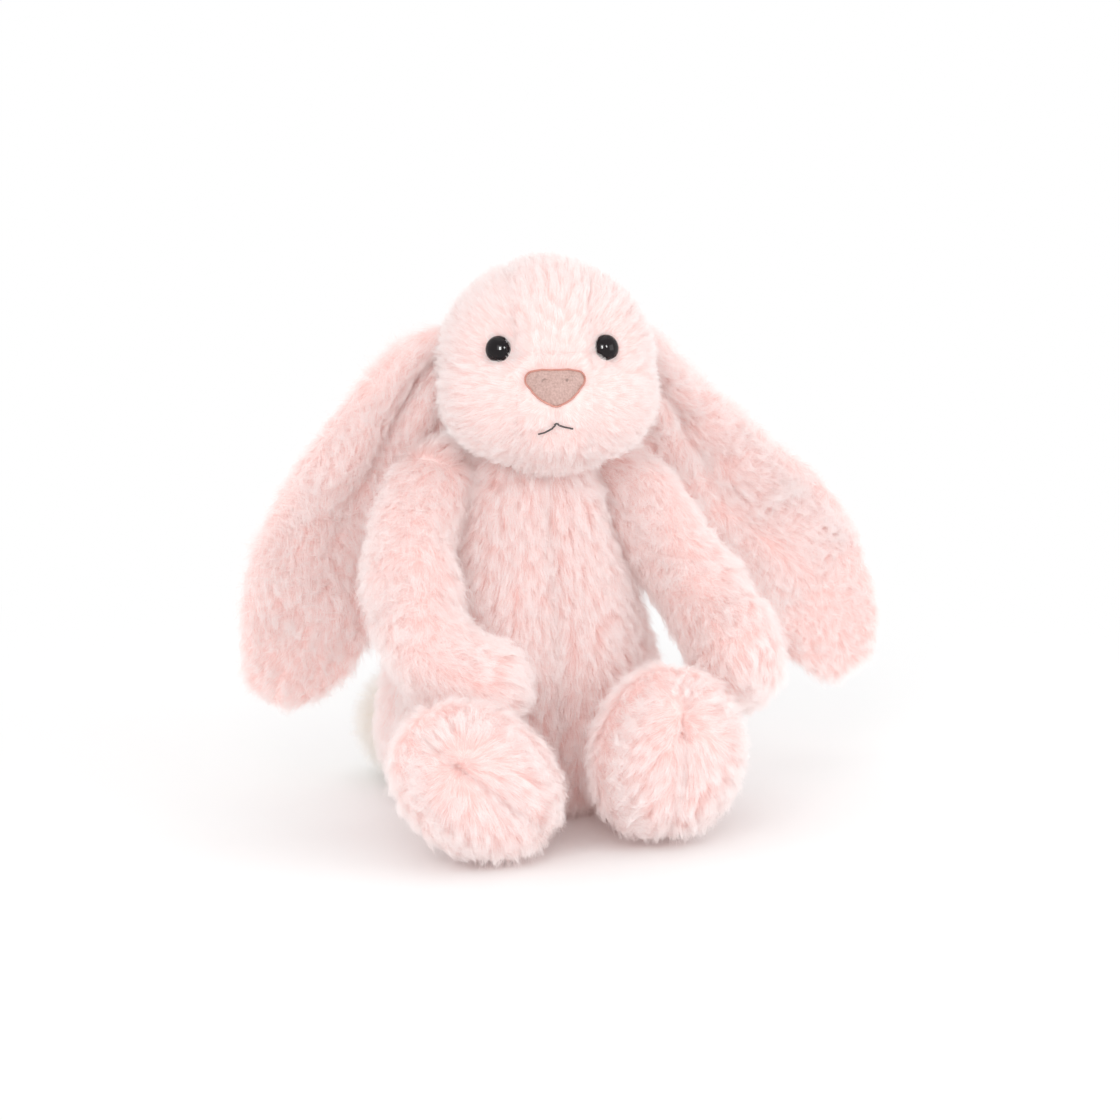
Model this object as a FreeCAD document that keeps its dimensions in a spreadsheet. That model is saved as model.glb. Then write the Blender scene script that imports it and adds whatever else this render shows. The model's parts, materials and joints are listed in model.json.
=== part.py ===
import FreeCAD, Part
import math
import os

import Sketcher

# Stuffed bunny rabbit, sitting. Millimetres, +Z up, the toy faces -Y and its left side is +X.
# The origin is the centre of the flat seat it sits on.

App = FreeCAD
V = App.Vector
doc = App.newDocument("bunny")
os.makedirs("parts", exist_ok=True)

# ---------------------------------------------------------------- driving dimensions
sheet = doc.addObject("Spreadsheet::Sheet", "Dimensions")
DIMENSIONS = {
    "skin": 2.4,  # plush fabric with its pile pressed flat
    "gap": 0.3,  # between neighbouring pieces
    "seam": 0.15,  # each panel stops this far from a seam
    # torso, a pear of oval sections: half width at each height
    "torso_base_radius": 31.0,
    "torso_low_height": 10.0, "torso_low_radius": 46.0,
    "torso_belly_height": 35.0, "torso_belly_radius": 50.5,
    "torso_mid_height": 57.0, "torso_mid_radius": 48.0,
    "torso_chest_height": 80.0, "torso_chest_radius": 39.0,
    "torso_top_height": 97.0, "torso_top_radius": 31.0,
    "torso_neck_height": 112.0, "torso_neck_radius": 24.0,
    "torso_depth_ratio": 0.86,
    "torso_lean": 11.0,  # how far the top sits in front of the seat
    # neck
    "neck_y": -12.0, "neck_z": 126.0,
    "neck_cap_radius": 24.0, "neck_ball_radius": 18.0, "neck_opening_radius": 9.2,
    # head
    "head_x": 2.0, "head_y": -25.0, "head_z": 163.0, "head_yaw": -14.5,
    "head_half_width": 40.0, "head_half_depth": 40.0, "head_half_height": 39.0,
    "muzzle_half_width": 22.0, "muzzle_half_depth": 15.0, "muzzle_half_height": 17.0,
    "muzzle_y": -29.0, "muzzle_z": -12.0,
    "gusset_half_width": 13.0,
    # face
    "eye_side": 18.4, "eye_up": 9.5, "eye_radius": 4.7, "eye_height": 3.7,
    "shank_radius": 1.4, "washer_radius": 4.4, "washer_thickness": 1.2,
    "nose_half_width": 10.4, "nose_top": 3.8, "nose_bottom": -8.8, "nose_thickness": 1.2,
    "mouth_top": -14.4, "mouth_drop": 3.2, "mouth_half_width": 5.2, "thread_width": 0.9,
    # ears
    "ear_panel": 2.2, "ear_panel_gap": 0.1,
    "ear_curve_height": 95.0, "ear_rear_y": 8.0,
    "ear_left_curve_radius": 132.0, "ear_right_curve_radius": 226.0,
    # arms
    "arm_radius": 12.8, "paw_radius": 13.6, "shoulder_clearance": 1.4,
    # legs
    "hip_x": 31.0, "hip_y": -37.0, "hip_z": 19.0, "leg_radius": 14.6,
    "foot_half_depth": 19.0,
    "foot_left_half_width": 25.0, "foot_left_half_length": 31.5,
    "foot_right_half_width": 24.0, "foot_right_half_length": 33.0,
    "foot_pouch_radius": 9.0,
    # tail
    "tail_x": -30.0, "tail_y": 42.5, "tail_z": 22.0, "tail_radius": 17.5,
    # seat
    "seat_pouch_radius": 26.0, "seat_pouch_half_height": 11.0, "seat_pouch_z": 17.0,
    "pouch_cloth": 0.8,
    # label
    "label_width": 12.0, "label_length": 16.0, "label_thickness": 0.5,
}
for row, (alias, value) in enumerate(DIMENSIONS.items(), start=1):
    sheet.set("A%d" % row, alias)
    sheet.set("B%d" % row, str(value))
    sheet.setAlias("B%d" % row, alias)
doc.recompute()


def dim(alias):
    return float(sheet.get(alias))


def bind(obj, **rules):
    for prop, rule in rules.items():
        text = rule
        for alias in sorted(DIMENSIONS, key=len, reverse=True):
            text = text.replace("<%s>" % alias, "Dimensions.%s" % alias)
        obj.setExpression(prop.replace("__", "."), text)
    return obj


def place(obj, base=V(), rotation=App.Rotation()):
    obj.Placement = App.Placement(V(base), rotation)
    return obj


# ---------------------------------------------------------------- small builders
def sphere(name, radius, base=V()):
    return place(bind(doc.addObject("Part::Sphere", name), Radius=radius), base)


def ellipsoid(name, wide, deep, high, base=V(), rotation=App.Rotation()):
    shape = doc.addObject("Part::Ellipsoid", name)
    bind(shape, Radius1=high, Radius2=wide, Radius3=deep)
    return place(shape, base, rotation)


def cylinder(name, radius, height, base=V(), direction=V(0, 0, 1)):
    shape = bind(doc.addObject("Part::Cylinder", name), Radius=radius, Height=height)
    return place(shape, base, App.Rotation(V(0, 0, 1), direction))


def box(name, low, high, rotation=App.Rotation()):
    shape = doc.addObject("Part::Box", name)
    shape.Length, shape.Width, shape.Height = (high[i] - low[i] for i in range(3))
    return place(shape, rotation.multVec(V(*low)), rotation)


def fuse(name, shapes):
    joined = doc.addObject("Part::MultiFuse", name)
    joined.Shapes = shapes
    return joined


def cut(name, base, tool):
    left = doc.addObject("Part::Cut", name)
    left.Base, left.Tool = base, tool
    return left


def common(name, base, tool):
    shared = doc.addObject("Part::Common", name)
    shared.Base, shared.Tool = base, tool
    return shared


SUBPARTS = []


def subpart(obj, label, placement=None):
    obj.Label = label
    if placement is not None:
        obj.Placement = placement
    SUBPARTS.append(obj)
    return obj


def origin_plane(body, role):
    return next(f for f in body.Origin.OriginFeatures if f.Role == role)


def sketch_on(body, name, role, offset=0.0):
    sketch = body.newObject("Sketcher::SketchObject", name)
    sketch.AttachmentSupport = [(origin_plane(body, role), "")]
    sketch.MapMode = "FlatFace"
    sketch.AttachmentOffset = App.Placement(V(0, 0, offset), App.Rotation())
    return sketch


def closed_curve(sketch, points):
    curve = Part.BSplineCurve()
    curve.interpolate([V(x, y, 0) for x, y in points], PeriodicFlag=True)
    sketch.addGeometry(curve, False)


def pad(body, sketch, length, both_ways=False):
    feature = body.newObject("PartDesign::Pad", sketch.Name + "_pad")
    feature.Profile = sketch
    bind(feature, Length=length)
    if both_ways:
        feature.SideType = "Symmetric"
    body.Tip = feature
    sketch.Visibility = False
    return feature


BIG = 140.0
SEAM = dim("seam")

# ---------------------------------------------------------------- frames
neck_pivot = V(0, dim("neck_y"), dim("neck_z"))
head_frame = App.Placement(
    V(dim("head_x"), dim("head_y"), dim("head_z")),
    App.Rotation(V(0, 0, 1), dim("head_yaw")),
)
shoulders = {"left": V(33, -8, 121.5), "right": V(-33, -8, 121.5)}
elbows = {"left": V(51.2, -34.5, 88), "right": V(-49.5, -32, 84)}
paws = {"left": V(60.5, -62, 59), "right": V(-31, -55.5, 57)}
feet = {"left": V(29, -76, 32.6), "right": V(-42, -78, 28.8)}
foot_lean = {"left": 7.0, "right": -50.0}
tail_centre = V(dim("tail_x"), dim("tail_y"), dim("tail_z"))
SIDES = {"left": 1, "right": -1}

# ---------------------------------------------------------------- torso
STATIONS = ["low", "belly", "mid", "chest", "top", "neck"]


def torso_solid(name, inset):
    """The pear, drawn in by `inset`, with the ball of the neck on top."""
    rings = []
    lean = "0 - <torso_lean> * (%s) / <torso_neck_height>"
    levels = [("base", "(%s)" % inset, "<torso_base_radius> + 0.62 * (%s)" % inset)]
    levels += [(s, "<torso_%s_height>" % s, "<torso_%s_radius>" % s) for s in STATIONS]
    for key, height, radius in levels:
        ring = doc.addObject("Part::Ellipse", "%s_ring_%s" % (name, key))
        ring.MajorRadius, ring.MinorRadius = 60, 20
        bind(
            ring,
            MajorRadius="%s - (%s)" % (radius, inset),
            MinorRadius="(%s) * <torso_depth_ratio> - (%s)" % (radius, inset),
            Placement__Base__z=height,
            Placement__Base__y=lean % height,
        )
        rings.append(ring)
    pear = doc.addObject("Part::Loft", name + "_pear")
    pear.Sections, pear.Solid = rings, True
    cap = sphere(name + "_cap", "<neck_cap_radius> - (%s)" % inset, neck_pivot)
    return fuse(name, [pear, cap])


torso_outer = torso_solid("torso_outer", "0")
torso_inner = torso_solid("torso_inner", "<skin>")
torso_fill = torso_solid("torso_fill", "<skin> + <gap>")

# Room left around the arms, legs, tail and neck ball.
sockets = [
    sphere("socket_arm_" + side, "<arm_radius> + <shoulder_clearance>", shoulders[side])
    for side in SIDES
]
for side, sign in SIDES.items():
    hip = V(sign * dim("hip_x"), dim("hip_y"), dim("hip_z"))
    reach = dim("leg_radius") + 1.0
    sockets.append(sphere("socket_hip_" + side, "<leg_radius> + 1", hip))
    sockets.append(
        cylinder(
            "socket_swing_" + side, "<leg_radius> + 1", "2 * <leg_radius> + 2",
            hip - V(reach, 0, 0), V(1, 0, 0),
        )
    )
    x_low, x_high = hip.x - reach, hip.x + reach
    sockets.append(
        box("socket_thigh_" + side, (x_low, -90, -5), (x_high, hip.y + reach, hip.z))
    )
    sockets.append(
        box("socket_lap_" + side, (x_low, -90, hip.z - 1), (x_high, hip.y, hip.z + reach))
    )
away = V(tail_centre.x, tail_centre.y, 0).normalize()
TAIL_SOCKET_SHIFT = 4.3  # the tail's socket opens outwards, so that the tail can wag
sockets.append(
    sphere("socket_tail", "<tail_radius> + 5", tail_centre + away * TAIL_SOCKET_SHIFT)
)
torso_sockets = fuse("torso_sockets", sockets)
opening = cylinder("neck_opening", "<neck_opening_radius>", "30", neck_pivot)
neck_room = sphere("neck_room", "<neck_cap_radius> - <skin>", neck_pivot)

torso_shell = cut("torso_shell", torso_outer, torso_inner)
torso_cover = cut(
    "torso_cover", torso_shell, fuse("torso_openings", [torso_sockets, opening])
)
seat_disc = cylinder("seat_disc", "0.96 * <torso_base_radius>", "<skin> + 1", V(0, 0, -1))
seat_edge = cylinder(
    "seat_edge", "0.96 * <torso_base_radius> + <gap>", "<skin> + 1.5", V(0, 0, -1)
)
subpart(common("seat_panel_shape", torso_cover, seat_disc), "torso_base")
cover_sides = cut("cover_sides", torso_cover, seat_edge)
SIDE_SEAM_Y = -5.0
CLOSING = {"low": 46.0, "high": 60.0, "half": 0.9}
closing_slot = box(
    "closing_slot", (-CLOSING["half"], 10, CLOSING["low"]), (CLOSING["half"], 70, CLOSING["high"])
)
for side, sign in SIDES.items():
    x = sorted((sign * SEAM, sign * BIG))
    front = box("front_zone_" + side, (x[0], -BIG, -5), (x[1], SIDE_SEAM_Y - SEAM, 170))
    back = box("back_zone_" + side, (x[0], SIDE_SEAM_Y + SEAM, -5), (x[1], BIG, 170))
    subpart(common("front_cut_" + side, cover_sides, front), "torso_front_" + side)
    back_part = common("back_cut_" + side, cover_sides, back)
    subpart(cut("back_open_" + side, back_part, closing_slot), "torso_back_" + side)

pouch_at = V(0, -1.5, dim("seat_pouch_z"))


def seat_pouch(name, inset):
    wide = "<seat_pouch_radius> - (%s)" % inset
    return ellipsoid(
        name, wide, wide, "<seat_pouch_half_height> - (%s)" % inset, pouch_at
    )


torso_cavities = fuse(
    "torso_cavities", [torso_sockets, neck_room, seat_pouch("pouch_room", "0 - <gap>")]
)
subpart(cut("torso_fill_cut", torso_fill, torso_cavities), "torso_stuffing")
pouch_skin = cut(
    "pouch_skin", seat_pouch("pouch_outer", "0"), seat_pouch("pouch_inner", "<pouch_cloth>")
)
subpart(cut("pouch_cut", pouch_skin, torso_sockets), "seat_pellet_pouch")
pellets = seat_pouch("pellet_fill", "<pouch_cloth> + <gap>")
subpart(cut("pellet_cut", pellets, torso_sockets), "seat_pellets")

subpart(sphere("neck_ball", "<neck_ball_radius>", neck_pivot), "neck_stuffing")
ring_room = dim("neck_cap_radius") - dim("skin")
ring_mid = (ring_room + dim("neck_ball_radius")) / 2
ring_radius = dim("neck_opening_radius") + 1.2
ring = doc.addObject("Part::Torus", "neck_ring")
ring.Radius2 = 0.7
bind(ring, Radius1="<neck_opening_radius> + 1.2")
place(ring, neck_pivot + V(0, 0, math.sqrt(ring_mid**2 - ring_radius**2)))
subpart(ring, "neck_gather_thread")


def torso_back_y(height):
    """Rear face of the pear at a height between the mid and belly stations."""
    span = dim("torso_mid_height") - dim("torso_belly_height")
    share = (height - dim("torso_belly_height")) / span
    radius = (1 - share) * dim("torso_belly_radius") + share * dim("torso_mid_radius")
    return radius * dim("torso_depth_ratio") - dim("torso_lean") * height / dim("torso_neck_height")


# Closing thread, laid along the slot in the rear seam.
closing = doc.addObject("PartDesign::Body", "closing_body")
path = sketch_on(closing, "closing_path", "YZ_Plane")
ends = [
    V(torso_back_y(z) - 1.2, z, 0) for z in (CLOSING["low"] + 0.8, CLOSING["high"] - 2.4)
]
path.addGeometry(Part.LineSegment(*ends), False)
profile = sketch_on(closing, "closing_profile", "XY_Plane", ends[0].y)
profile.addGeometry(Part.Circle(V(0, ends[0].x, 0), V(0, 0, 1), 0.5), False)
sweep = closing.newObject("PartDesign::AdditivePipe", "closing_pipe")
sweep.Profile, sweep.Spine = profile, (path, ["Edge1"])
closing.Tip = sweep
subpart(closing, "back_closing_stitch")

label_body = doc.addObject("PartDesign::Body", "label_body")
outline = sketch_on(label_body, "label_outline", "YZ_Plane")
LABEL_LOW = 62.0  # height of the lower end of its sewn edge
LABEL_DROOP = 3.0  # its free end hangs lower
LABEL_SLOPE = 4.7  # the back leans forward this much along the sewn edge
label_y = torso_back_y(dim("torso_mid_height")) - 0.8
far_y, rise = label_y + dim("label_length"), dim("label_width")
corners = [
    V(label_y, LABEL_LOW, 0), V(far_y, LABEL_LOW - LABEL_DROOP, 0),
    V(far_y, LABEL_LOW - LABEL_DROOP + rise, 0), V(label_y - LABEL_SLOPE, LABEL_LOW + rise, 0),
]
for n in range(4):
    outline.addGeometry(Part.LineSegment(corners[n], corners[(n + 1) % 4]), False)
pad(label_body, outline, "<label_thickness>", both_ways=True)
subpart(label_body, "care_label")

# ---------------------------------------------------------------- head, in its own frame
neck_in_head = head_frame.inverse().multVec(neck_pivot)


def head_solid(name, inset):
    skull = ellipsoid(
        name + "_skull", "<head_half_width> - (%s)" % inset,
        "<head_half_depth> - (%s)" % inset, "<head_half_height> - (%s)" % inset,
    )
    muzzle = ellipsoid(
        name + "_muzzle", "<muzzle_half_width> - (%s)" % inset,
        "<muzzle_half_depth> - (%s)" % inset, "<muzzle_half_height> - (%s)" % inset,
        V(0, dim("muzzle_y"), dim("muzzle_z")),
    )
    return fuse(name, [skull, muzzle])


def eye_seat(sign):
    """Where an eye meets the skull, and the outward direction there."""
    a, b, c = dim("head_half_width"), dim("head_half_depth"), dim("head_half_height")
    x, z = sign * dim("eye_side"), dim("eye_up")
    y = -b * math.sqrt(1 - (x / a) ** 2 - (z / c) ** 2)
    return V(x, y, z), V(x / a**2, y / b**2, z / c**2).normalize()


neck_socket = sphere("neck_socket", "<neck_cap_radius> + 0.6", neck_in_head)
shank_holes, washer_rooms = [], []
for side, sign in SIDES.items():
    seat, outward = eye_seat(sign)
    shank_holes.append(
        cylinder("shank_hole_" + side, "<shank_radius> + 0.25", "16", seat - outward * 12, outward)
    )
    washer_rooms.append(
        cylinder(
            "washer_room_" + side, "<washer_radius> + 0.5", "9", seat - outward * 9.6, outward
        )
    )
head_shell = cut("head_shell", head_solid("head_outer", "0"), head_solid("head_inner", "<skin>"))
head_cover = cut("head_cover", head_shell, fuse("head_holes", [neck_socket] + shank_holes))
head_fill = head_solid("head_fill", "<skin> + <gap>")
head_room = fuse("head_room", [neck_socket] + washer_rooms)
subpart(cut("head_fill_cut", head_fill, head_room), "head_stuffing", head_frame)

g = dim("gusset_half_width")
BROW = 8.6  # height of the cross seam between crown gusset and chin panel
crown_zone = box("crown_zone", (-g, -BIG, BROW), (g, BIG, BIG))
nape_zone = box("nape_zone", (-g, 0, -BIG), (g, BIG, BROW + 0.4))
subpart(
    common("gusset_cut", head_cover, fuse("gusset_zone", [crown_zone, nape_zone])),
    "head_gusset", head_frame,
)
chin_zone = box("chin_zone", (-g, -BIG, -BIG), (g, -2 * SEAM, BROW - 2 * SEAM))
subpart(common("chin_cut", head_cover, chin_zone), "head_chin", head_frame)
for side, sign in SIDES.items():
    x = sorted((sign * (g + 2 * SEAM), sign * BIG))
    zone = box("cheek_zone_" + side, (x[0], -BIG, -BIG), (x[1], BIG, BIG))
    subpart(common("cheek_cut_" + side, head_cover, zone), "head_side_" + side, head_frame)

# Eyes: a moulded dome with a shank, held inside by a pressed washer.
for side, sign in SIDES.items():
    seat, outward = eye_seat(sign)
    turn = App.Rotation(V(0, 0, 1), outward)
    stem = dim("shank_radius")
    dome = ellipsoid("eye_dome_" + side, "<eye_radius>", "<eye_radius>", "<eye_height>", V(0, 0, 0.4))
    dome.Angle1, dome.Angle2 = 0, 90
    shank = cylinder("eye_shank_" + side, "<shank_radius>", "8.6", V(0, 0, -7.4))
    local = App.Placement(seat, turn)
    subpart(fuse("eye_joined_" + side, [dome, shank]), "eye_" + side, head_frame.multiply(local))

    washer = doc.addObject("PartDesign::Body", "washer_body_" + side)
    face = sketch_on(washer, "washer_profile_" + side, "XY_Plane")
    face.addGeometry(Part.Circle(V(), V(0, 0, 1), dim("washer_radius")), False)
    face.addGeometry(Part.Circle(V(), V(0, 0, 1), stem + 0.2), False)
    for n, rule in ((0, "<washer_radius>"), (1, "<shank_radius> + 0.2")):
        face.addConstraint(Sketcher.Constraint("Coincident", n, 3, -1, 1))
        face.addConstraint(Sketcher.Constraint("Radius", n, face.Geometry[n].Radius))
        bind(face, **{"Constraints[%d]" % (2 * n + 1): rule})
    pad(washer, face, "<washer_thickness>")
    inner_face = App.Placement(seat - outward * (dim("skin") + 2.0), turn)
    subpart(washer, "eye_washer_" + side, head_frame.multiply(inner_face))


def face_layer(name, low, high):
    return cut(
        name, head_solid(name + "_over", "0 - %s" % high), head_solid(name + "_under", "0 - %s" % low)
    )


nose_body = doc.addObject("PartDesign::Body", "nose_body")
nose_sketch = sketch_on(nose_body, "nose_outline", "XZ_Plane")
w, top, low = dim("nose_half_width"), dim("nose_top"), dim("nose_bottom")
NOSE = [(0, top), (0.62 * w, top - 0.4), (w, top - 3.2), (0.86 * w, top - 6.4), (0.42 * w, low + 2.2)]
closed_curve(nose_sketch, NOSE + [(0, low)] + [(-x, z) for x, z in reversed(NOSE[1:])])
pad(nose_body, nose_sketch, "90")
nose_layer = face_layer("nose_layer", 0.25, "<nose_thickness>")
subpart(common("nose_cut", nose_layer, nose_body), "nose_patch", head_frame)

mouth_body = doc.addObject("PartDesign::Body", "mouth_body")
mouth_sketch = sketch_on(mouth_body, "mouth_outline", "XZ_Plane")
apex, drop, half_w, wide = (
    dim("mouth_top"), dim("mouth_drop"), dim("mouth_half_width"), dim("thread_width")
)
ring_points = [
    V(0, apex, 0), V(half_w, apex - drop, 0), V(half_w, apex - drop - 1.3 * wide, 0),
    V(0, apex - 1.3 * wide, 0), V(-half_w, apex - drop - 1.3 * wide, 0), V(-half_w, apex - drop, 0),
]
for n, point in enumerate(ring_points):
    following = ring_points[(n + 1) % len(ring_points)]
    mouth_sketch.addGeometry(Part.LineSegment(point, following), False)
pad(mouth_body, mouth_sketch, "90")
mouth_layer = face_layer("mouth_layer", 0.25, 1.05)
subpart(common("mouth_cut", mouth_layer, mouth_body), "mouth_stitch", head_frame)

# ---------------------------------------------------------------- ears
# Each ear is a front and a back panel of plush, cut to one outline and bent back over the arm.
# Outline, from the root down the outer edge to the tip and back up the inner edge (x, z).
EAR_OUTLINES = {
    "left": [
        (54, 171.5), (64, 166.5), (78, 153.5), (96, 137.5), (111, 122.5), (124, 105.5), (134, 89),
        (140.5, 73), (142, 57), (139, 43), (130, 38), (119, 40.5), (106, 48), (90, 61),
        (75, 78.5), (63.5, 97.5), (54.5, 118), (48.5, 136), (45.5, 149), (42.6, 160), (46.2, 168.5),
    ],
    "right": [
        (-48.5, 169), (-56, 161), (-66, 147.5), (-75, 134), (-82, 119.5), (-90, 103), (-96.5, 86),
        (-100.5, 68), (-101, 54), (-96, 46.5), (-88, 46.5), (-76, 51.5), (-62, 60), (-53, 74),
        (-48.5, 92), (-46, 110), (-44.5, 126), (-42, 139), (-40.3, 150), (-39.3, 159), (-42, 166.5),
    ],
}


def ear_sheet(name, side, low, high):
    """A layer between two upright-bent cylinders that share a sideways axis."""
    radius = "<ear_%s_curve_radius>" % side
    centre = V(-200, dim("ear_rear_y") - dim("ear_%s_curve_radius" % side), dim("ear_curve_height"))
    tubes = [
        cylinder(name + tag, "%s + %s" % (radius, shift), "400", centre, V(1, 0, 0))
        for tag, shift in (("_over", high), ("_under", low))
    ]
    return cut(name, *tubes)


for side in SIDES:
    for layer, low, high in (
        ("front", "(0 - <ear_panel>) - <ear_panel_gap>", "(0 - <ear_panel_gap>)"),
        ("back", "<ear_panel_gap>", "<ear_panel> + <ear_panel_gap>"),
    ):
        key = "%s_%s" % (side, layer)
        body = doc.addObject("PartDesign::Body", "ear_body_" + key)
        outline = sketch_on(body, "ear_outline_" + key, "XZ_Plane")
        closed_curve(outline, EAR_OUTLINES[side])
        pad(body, outline, "130", both_ways=True)
        layer_tube = ear_sheet("ear_sheet_" + key, side, low, high)
        subpart(common("ear_cut_" + key, layer_tube, body), "ear_%s_%s" % (side, layer))

# ---------------------------------------------------------------- arms
for side in SIDES:
    a, c, b = shoulders[side], elbows[side], paws[side]
    bend = Part.Arc(a, c, b).toShape().Curve
    centre, radius = bend.Center, bend.Radius
    x_axis = (a - centre).normalize()
    normal = x_axis.cross((b - centre).normalize()).normalize()
    y_axis = normal.cross(x_axis)
    sweep_angle = math.degrees(math.acos(x_axis.dot((b - centre).normalize())))
    frame = App.Placement(centre, App.Rotation(x_axis, y_axis, normal, "ZXY"))
    wrist = V(math.cos(math.radians(sweep_angle)), math.sin(math.radians(sweep_angle)), 0) * radius

    def arm_solid(name, inset):
        tube = doc.addObject("Part::Torus", name + "_tube")
        bind(tube, Radius2="<arm_radius> - (%s)" % inset)
        tube.Radius1, tube.Angle3 = radius, sweep_angle
        start = sphere(name + "_shoulder", "<arm_radius> - (%s)" % inset, V(radius, 0, 0))
        end = sphere(name + "_paw", "<paw_radius> - (%s)" % inset, wrist)
        return fuse(name, [tube, start, end])

    arm = "arm_%s" % side
    cover = cut(arm + "_cover", arm_solid(arm + "_out", "0"), arm_solid(arm + "_in", "<skin>"))
    front_sign = -1 if normal.y > 0 else 1
    for panel, sign in (("front", front_sign), ("back", -front_sign)):
        z = sorted((sign * SEAM, sign * 30))
        zone = box("%s_%s_zone" % (arm, panel), (-BIG * 3, -BIG * 3, z[0]), (BIG * 3, BIG * 3, z[1]))
        subpart(common("%s_%s_cut" % (arm, panel), cover, zone), "%s_%s" % (arm, panel), frame)
    subpart(arm_solid(arm + "_fill", "<skin> + <gap>"), arm + "_stuffing", frame)

# ---------------------------------------------------------------- legs, in the frame of each foot
for side, sign in SIDES.items():
    frame = App.Placement(feet[side], App.Rotation(V(0, 1, 0), foot_lean[side]))
    hip = frame.inverse().multVec(V(sign * dim("hip_x"), dim("hip_y"), dim("hip_z")))
    ankle = V(0, 0, hip.z)

    def leg_solid(name, inset):
        foot = ellipsoid(
            name + "_foot", "<foot_%s_half_width> - (%s)" % (side, inset),
            "<foot_half_depth> - (%s)" % inset, "<foot_%s_half_length> - (%s)" % (side, inset),
        )
        reach = (hip - ankle).Length / 2 + dim("leg_radius")
        thigh = ellipsoid(
            name + "_thigh", "<leg_radius> - (%s)" % inset, "<leg_radius> - (%s)" % inset,
            "%f - (%s)" % (reach, inset), (hip + ankle) / 2, App.Rotation(V(0, 0, 1), hip - ankle),
        )
        return fuse(name, [foot, thigh])

    leg = "leg_%s" % side
    cover = cut(leg + "_cover", leg_solid(leg + "_out", "0"), leg_solid(leg + "_in", "<skin>"))
    for panel, way in (("outer", sign), ("inner", -sign)):
        x = sorted((way * SEAM, way * BIG))
        zone = box("%s_%s_zone" % (leg, panel), (x[0], -BIG, -BIG), (x[1], BIG, BIG))
        subpart(common("%s_%s_cut" % (leg, panel), cover, zone), "%s_%s" % (leg, panel), frame)
    pouch_base = V(0, 0, -dim("foot_left_half_length") + dim("foot_pouch_radius") + 8)
    room = sphere(leg + "_pouch_room", "<foot_pouch_radius> + <gap>", pouch_base)
    fill = cut(leg + "_fill_cut", leg_solid(leg + "_fill", "<skin> + <gap>"), room)
    subpart(fill, leg + "_stuffing", frame)
    pouch = sphere("foot_pouch_" + side, "<foot_pouch_radius>", V())
    subpart(pouch, "foot_%s_pellet_pouch" % side, frame.multiply(App.Placement(pouch_base, App.Rotation())))

# ---------------------------------------------------------------- tail
tail_skin = cut(
    "tail_skin", sphere("tail_outer", "<tail_radius>"), sphere("tail_inner", "<tail_radius> - <skin>")
)
subpart(tail_skin, "tail_cover", App.Placement(tail_centre, App.Rotation()))
subpart(sphere("tail_core", "<tail_radius> - <skin> - <gap>", tail_centre), "tail_stuffing")

# ---------------------------------------------------------------- check and export
doc.recompute()
for obj in doc.Objects:
    bad = [state for state in obj.State if state in ("Invalid", "Error")]
    if bad:
        raise RuntimeError("%s (%s) is %s" % (obj.Label, obj.TypeId, ", ".join(bad)))
for obj in SUBPARTS:
    if obj.Shape.isNull() or not obj.Shape.isValid():
        raise RuntimeError(obj.Label + " has no valid shape")
    obj.Shape.exportStep("parts/%s.step" % obj.Label)
    print("%-24s solids %d volume %9.1f" % (obj.Label, len(obj.Shape.Solids), obj.Shape.Volume))
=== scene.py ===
import json
import math

import bmesh
import bpy
import numpy as np
from mathutils import Euler, Matrix, Vector
from mathutils.bvhtree import BVHTree
from mathutils.kdtree import KDTree

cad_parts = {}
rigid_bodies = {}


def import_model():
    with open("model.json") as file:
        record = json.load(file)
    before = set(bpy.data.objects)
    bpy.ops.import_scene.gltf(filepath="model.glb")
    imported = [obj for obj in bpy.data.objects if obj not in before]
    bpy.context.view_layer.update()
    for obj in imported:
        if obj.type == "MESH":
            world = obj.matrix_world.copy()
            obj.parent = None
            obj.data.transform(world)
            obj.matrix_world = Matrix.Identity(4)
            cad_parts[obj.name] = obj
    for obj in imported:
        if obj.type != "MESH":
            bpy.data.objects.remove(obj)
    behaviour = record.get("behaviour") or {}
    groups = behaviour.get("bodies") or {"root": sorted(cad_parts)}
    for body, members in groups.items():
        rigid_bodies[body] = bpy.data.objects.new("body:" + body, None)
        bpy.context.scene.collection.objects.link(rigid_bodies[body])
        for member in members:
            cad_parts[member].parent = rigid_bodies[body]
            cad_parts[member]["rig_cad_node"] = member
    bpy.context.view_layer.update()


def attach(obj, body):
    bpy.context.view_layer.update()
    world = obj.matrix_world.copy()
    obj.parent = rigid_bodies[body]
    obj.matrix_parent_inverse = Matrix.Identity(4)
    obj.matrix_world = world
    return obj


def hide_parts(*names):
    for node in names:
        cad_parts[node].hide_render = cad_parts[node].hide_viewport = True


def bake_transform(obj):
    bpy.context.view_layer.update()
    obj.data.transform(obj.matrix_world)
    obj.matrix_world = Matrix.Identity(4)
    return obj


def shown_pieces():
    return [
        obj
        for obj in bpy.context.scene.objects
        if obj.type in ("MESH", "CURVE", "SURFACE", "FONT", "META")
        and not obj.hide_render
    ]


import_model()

MM = 0.001
VOXEL = 0.0014  # metres
SIDES = {"left": 1, "right": -1}

# ---- shared points, in millimetres
NECK = np.array([0.0, -12.0, 126.0])
HEAD_YAW = math.radians(-14.5)
HEAD_CENTRE = np.array([2.0, -25.0, 163.0])
HEAD_TURN = np.array(
    [[math.cos(HEAD_YAW), -math.sin(HEAD_YAW), 0], [math.sin(HEAD_YAW), math.cos(HEAD_YAW), 0], [0, 0, 1]]
)
EYE_SIDE, EYE_UP = 18.4, 9.5


def head_to_row(p):
    return np.asarray(p) @ HEAD_TURN.T + HEAD_CENTRE


def row_to_head(p):
    return (np.asarray(p) - HEAD_CENTRE) @ HEAD_TURN


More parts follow.
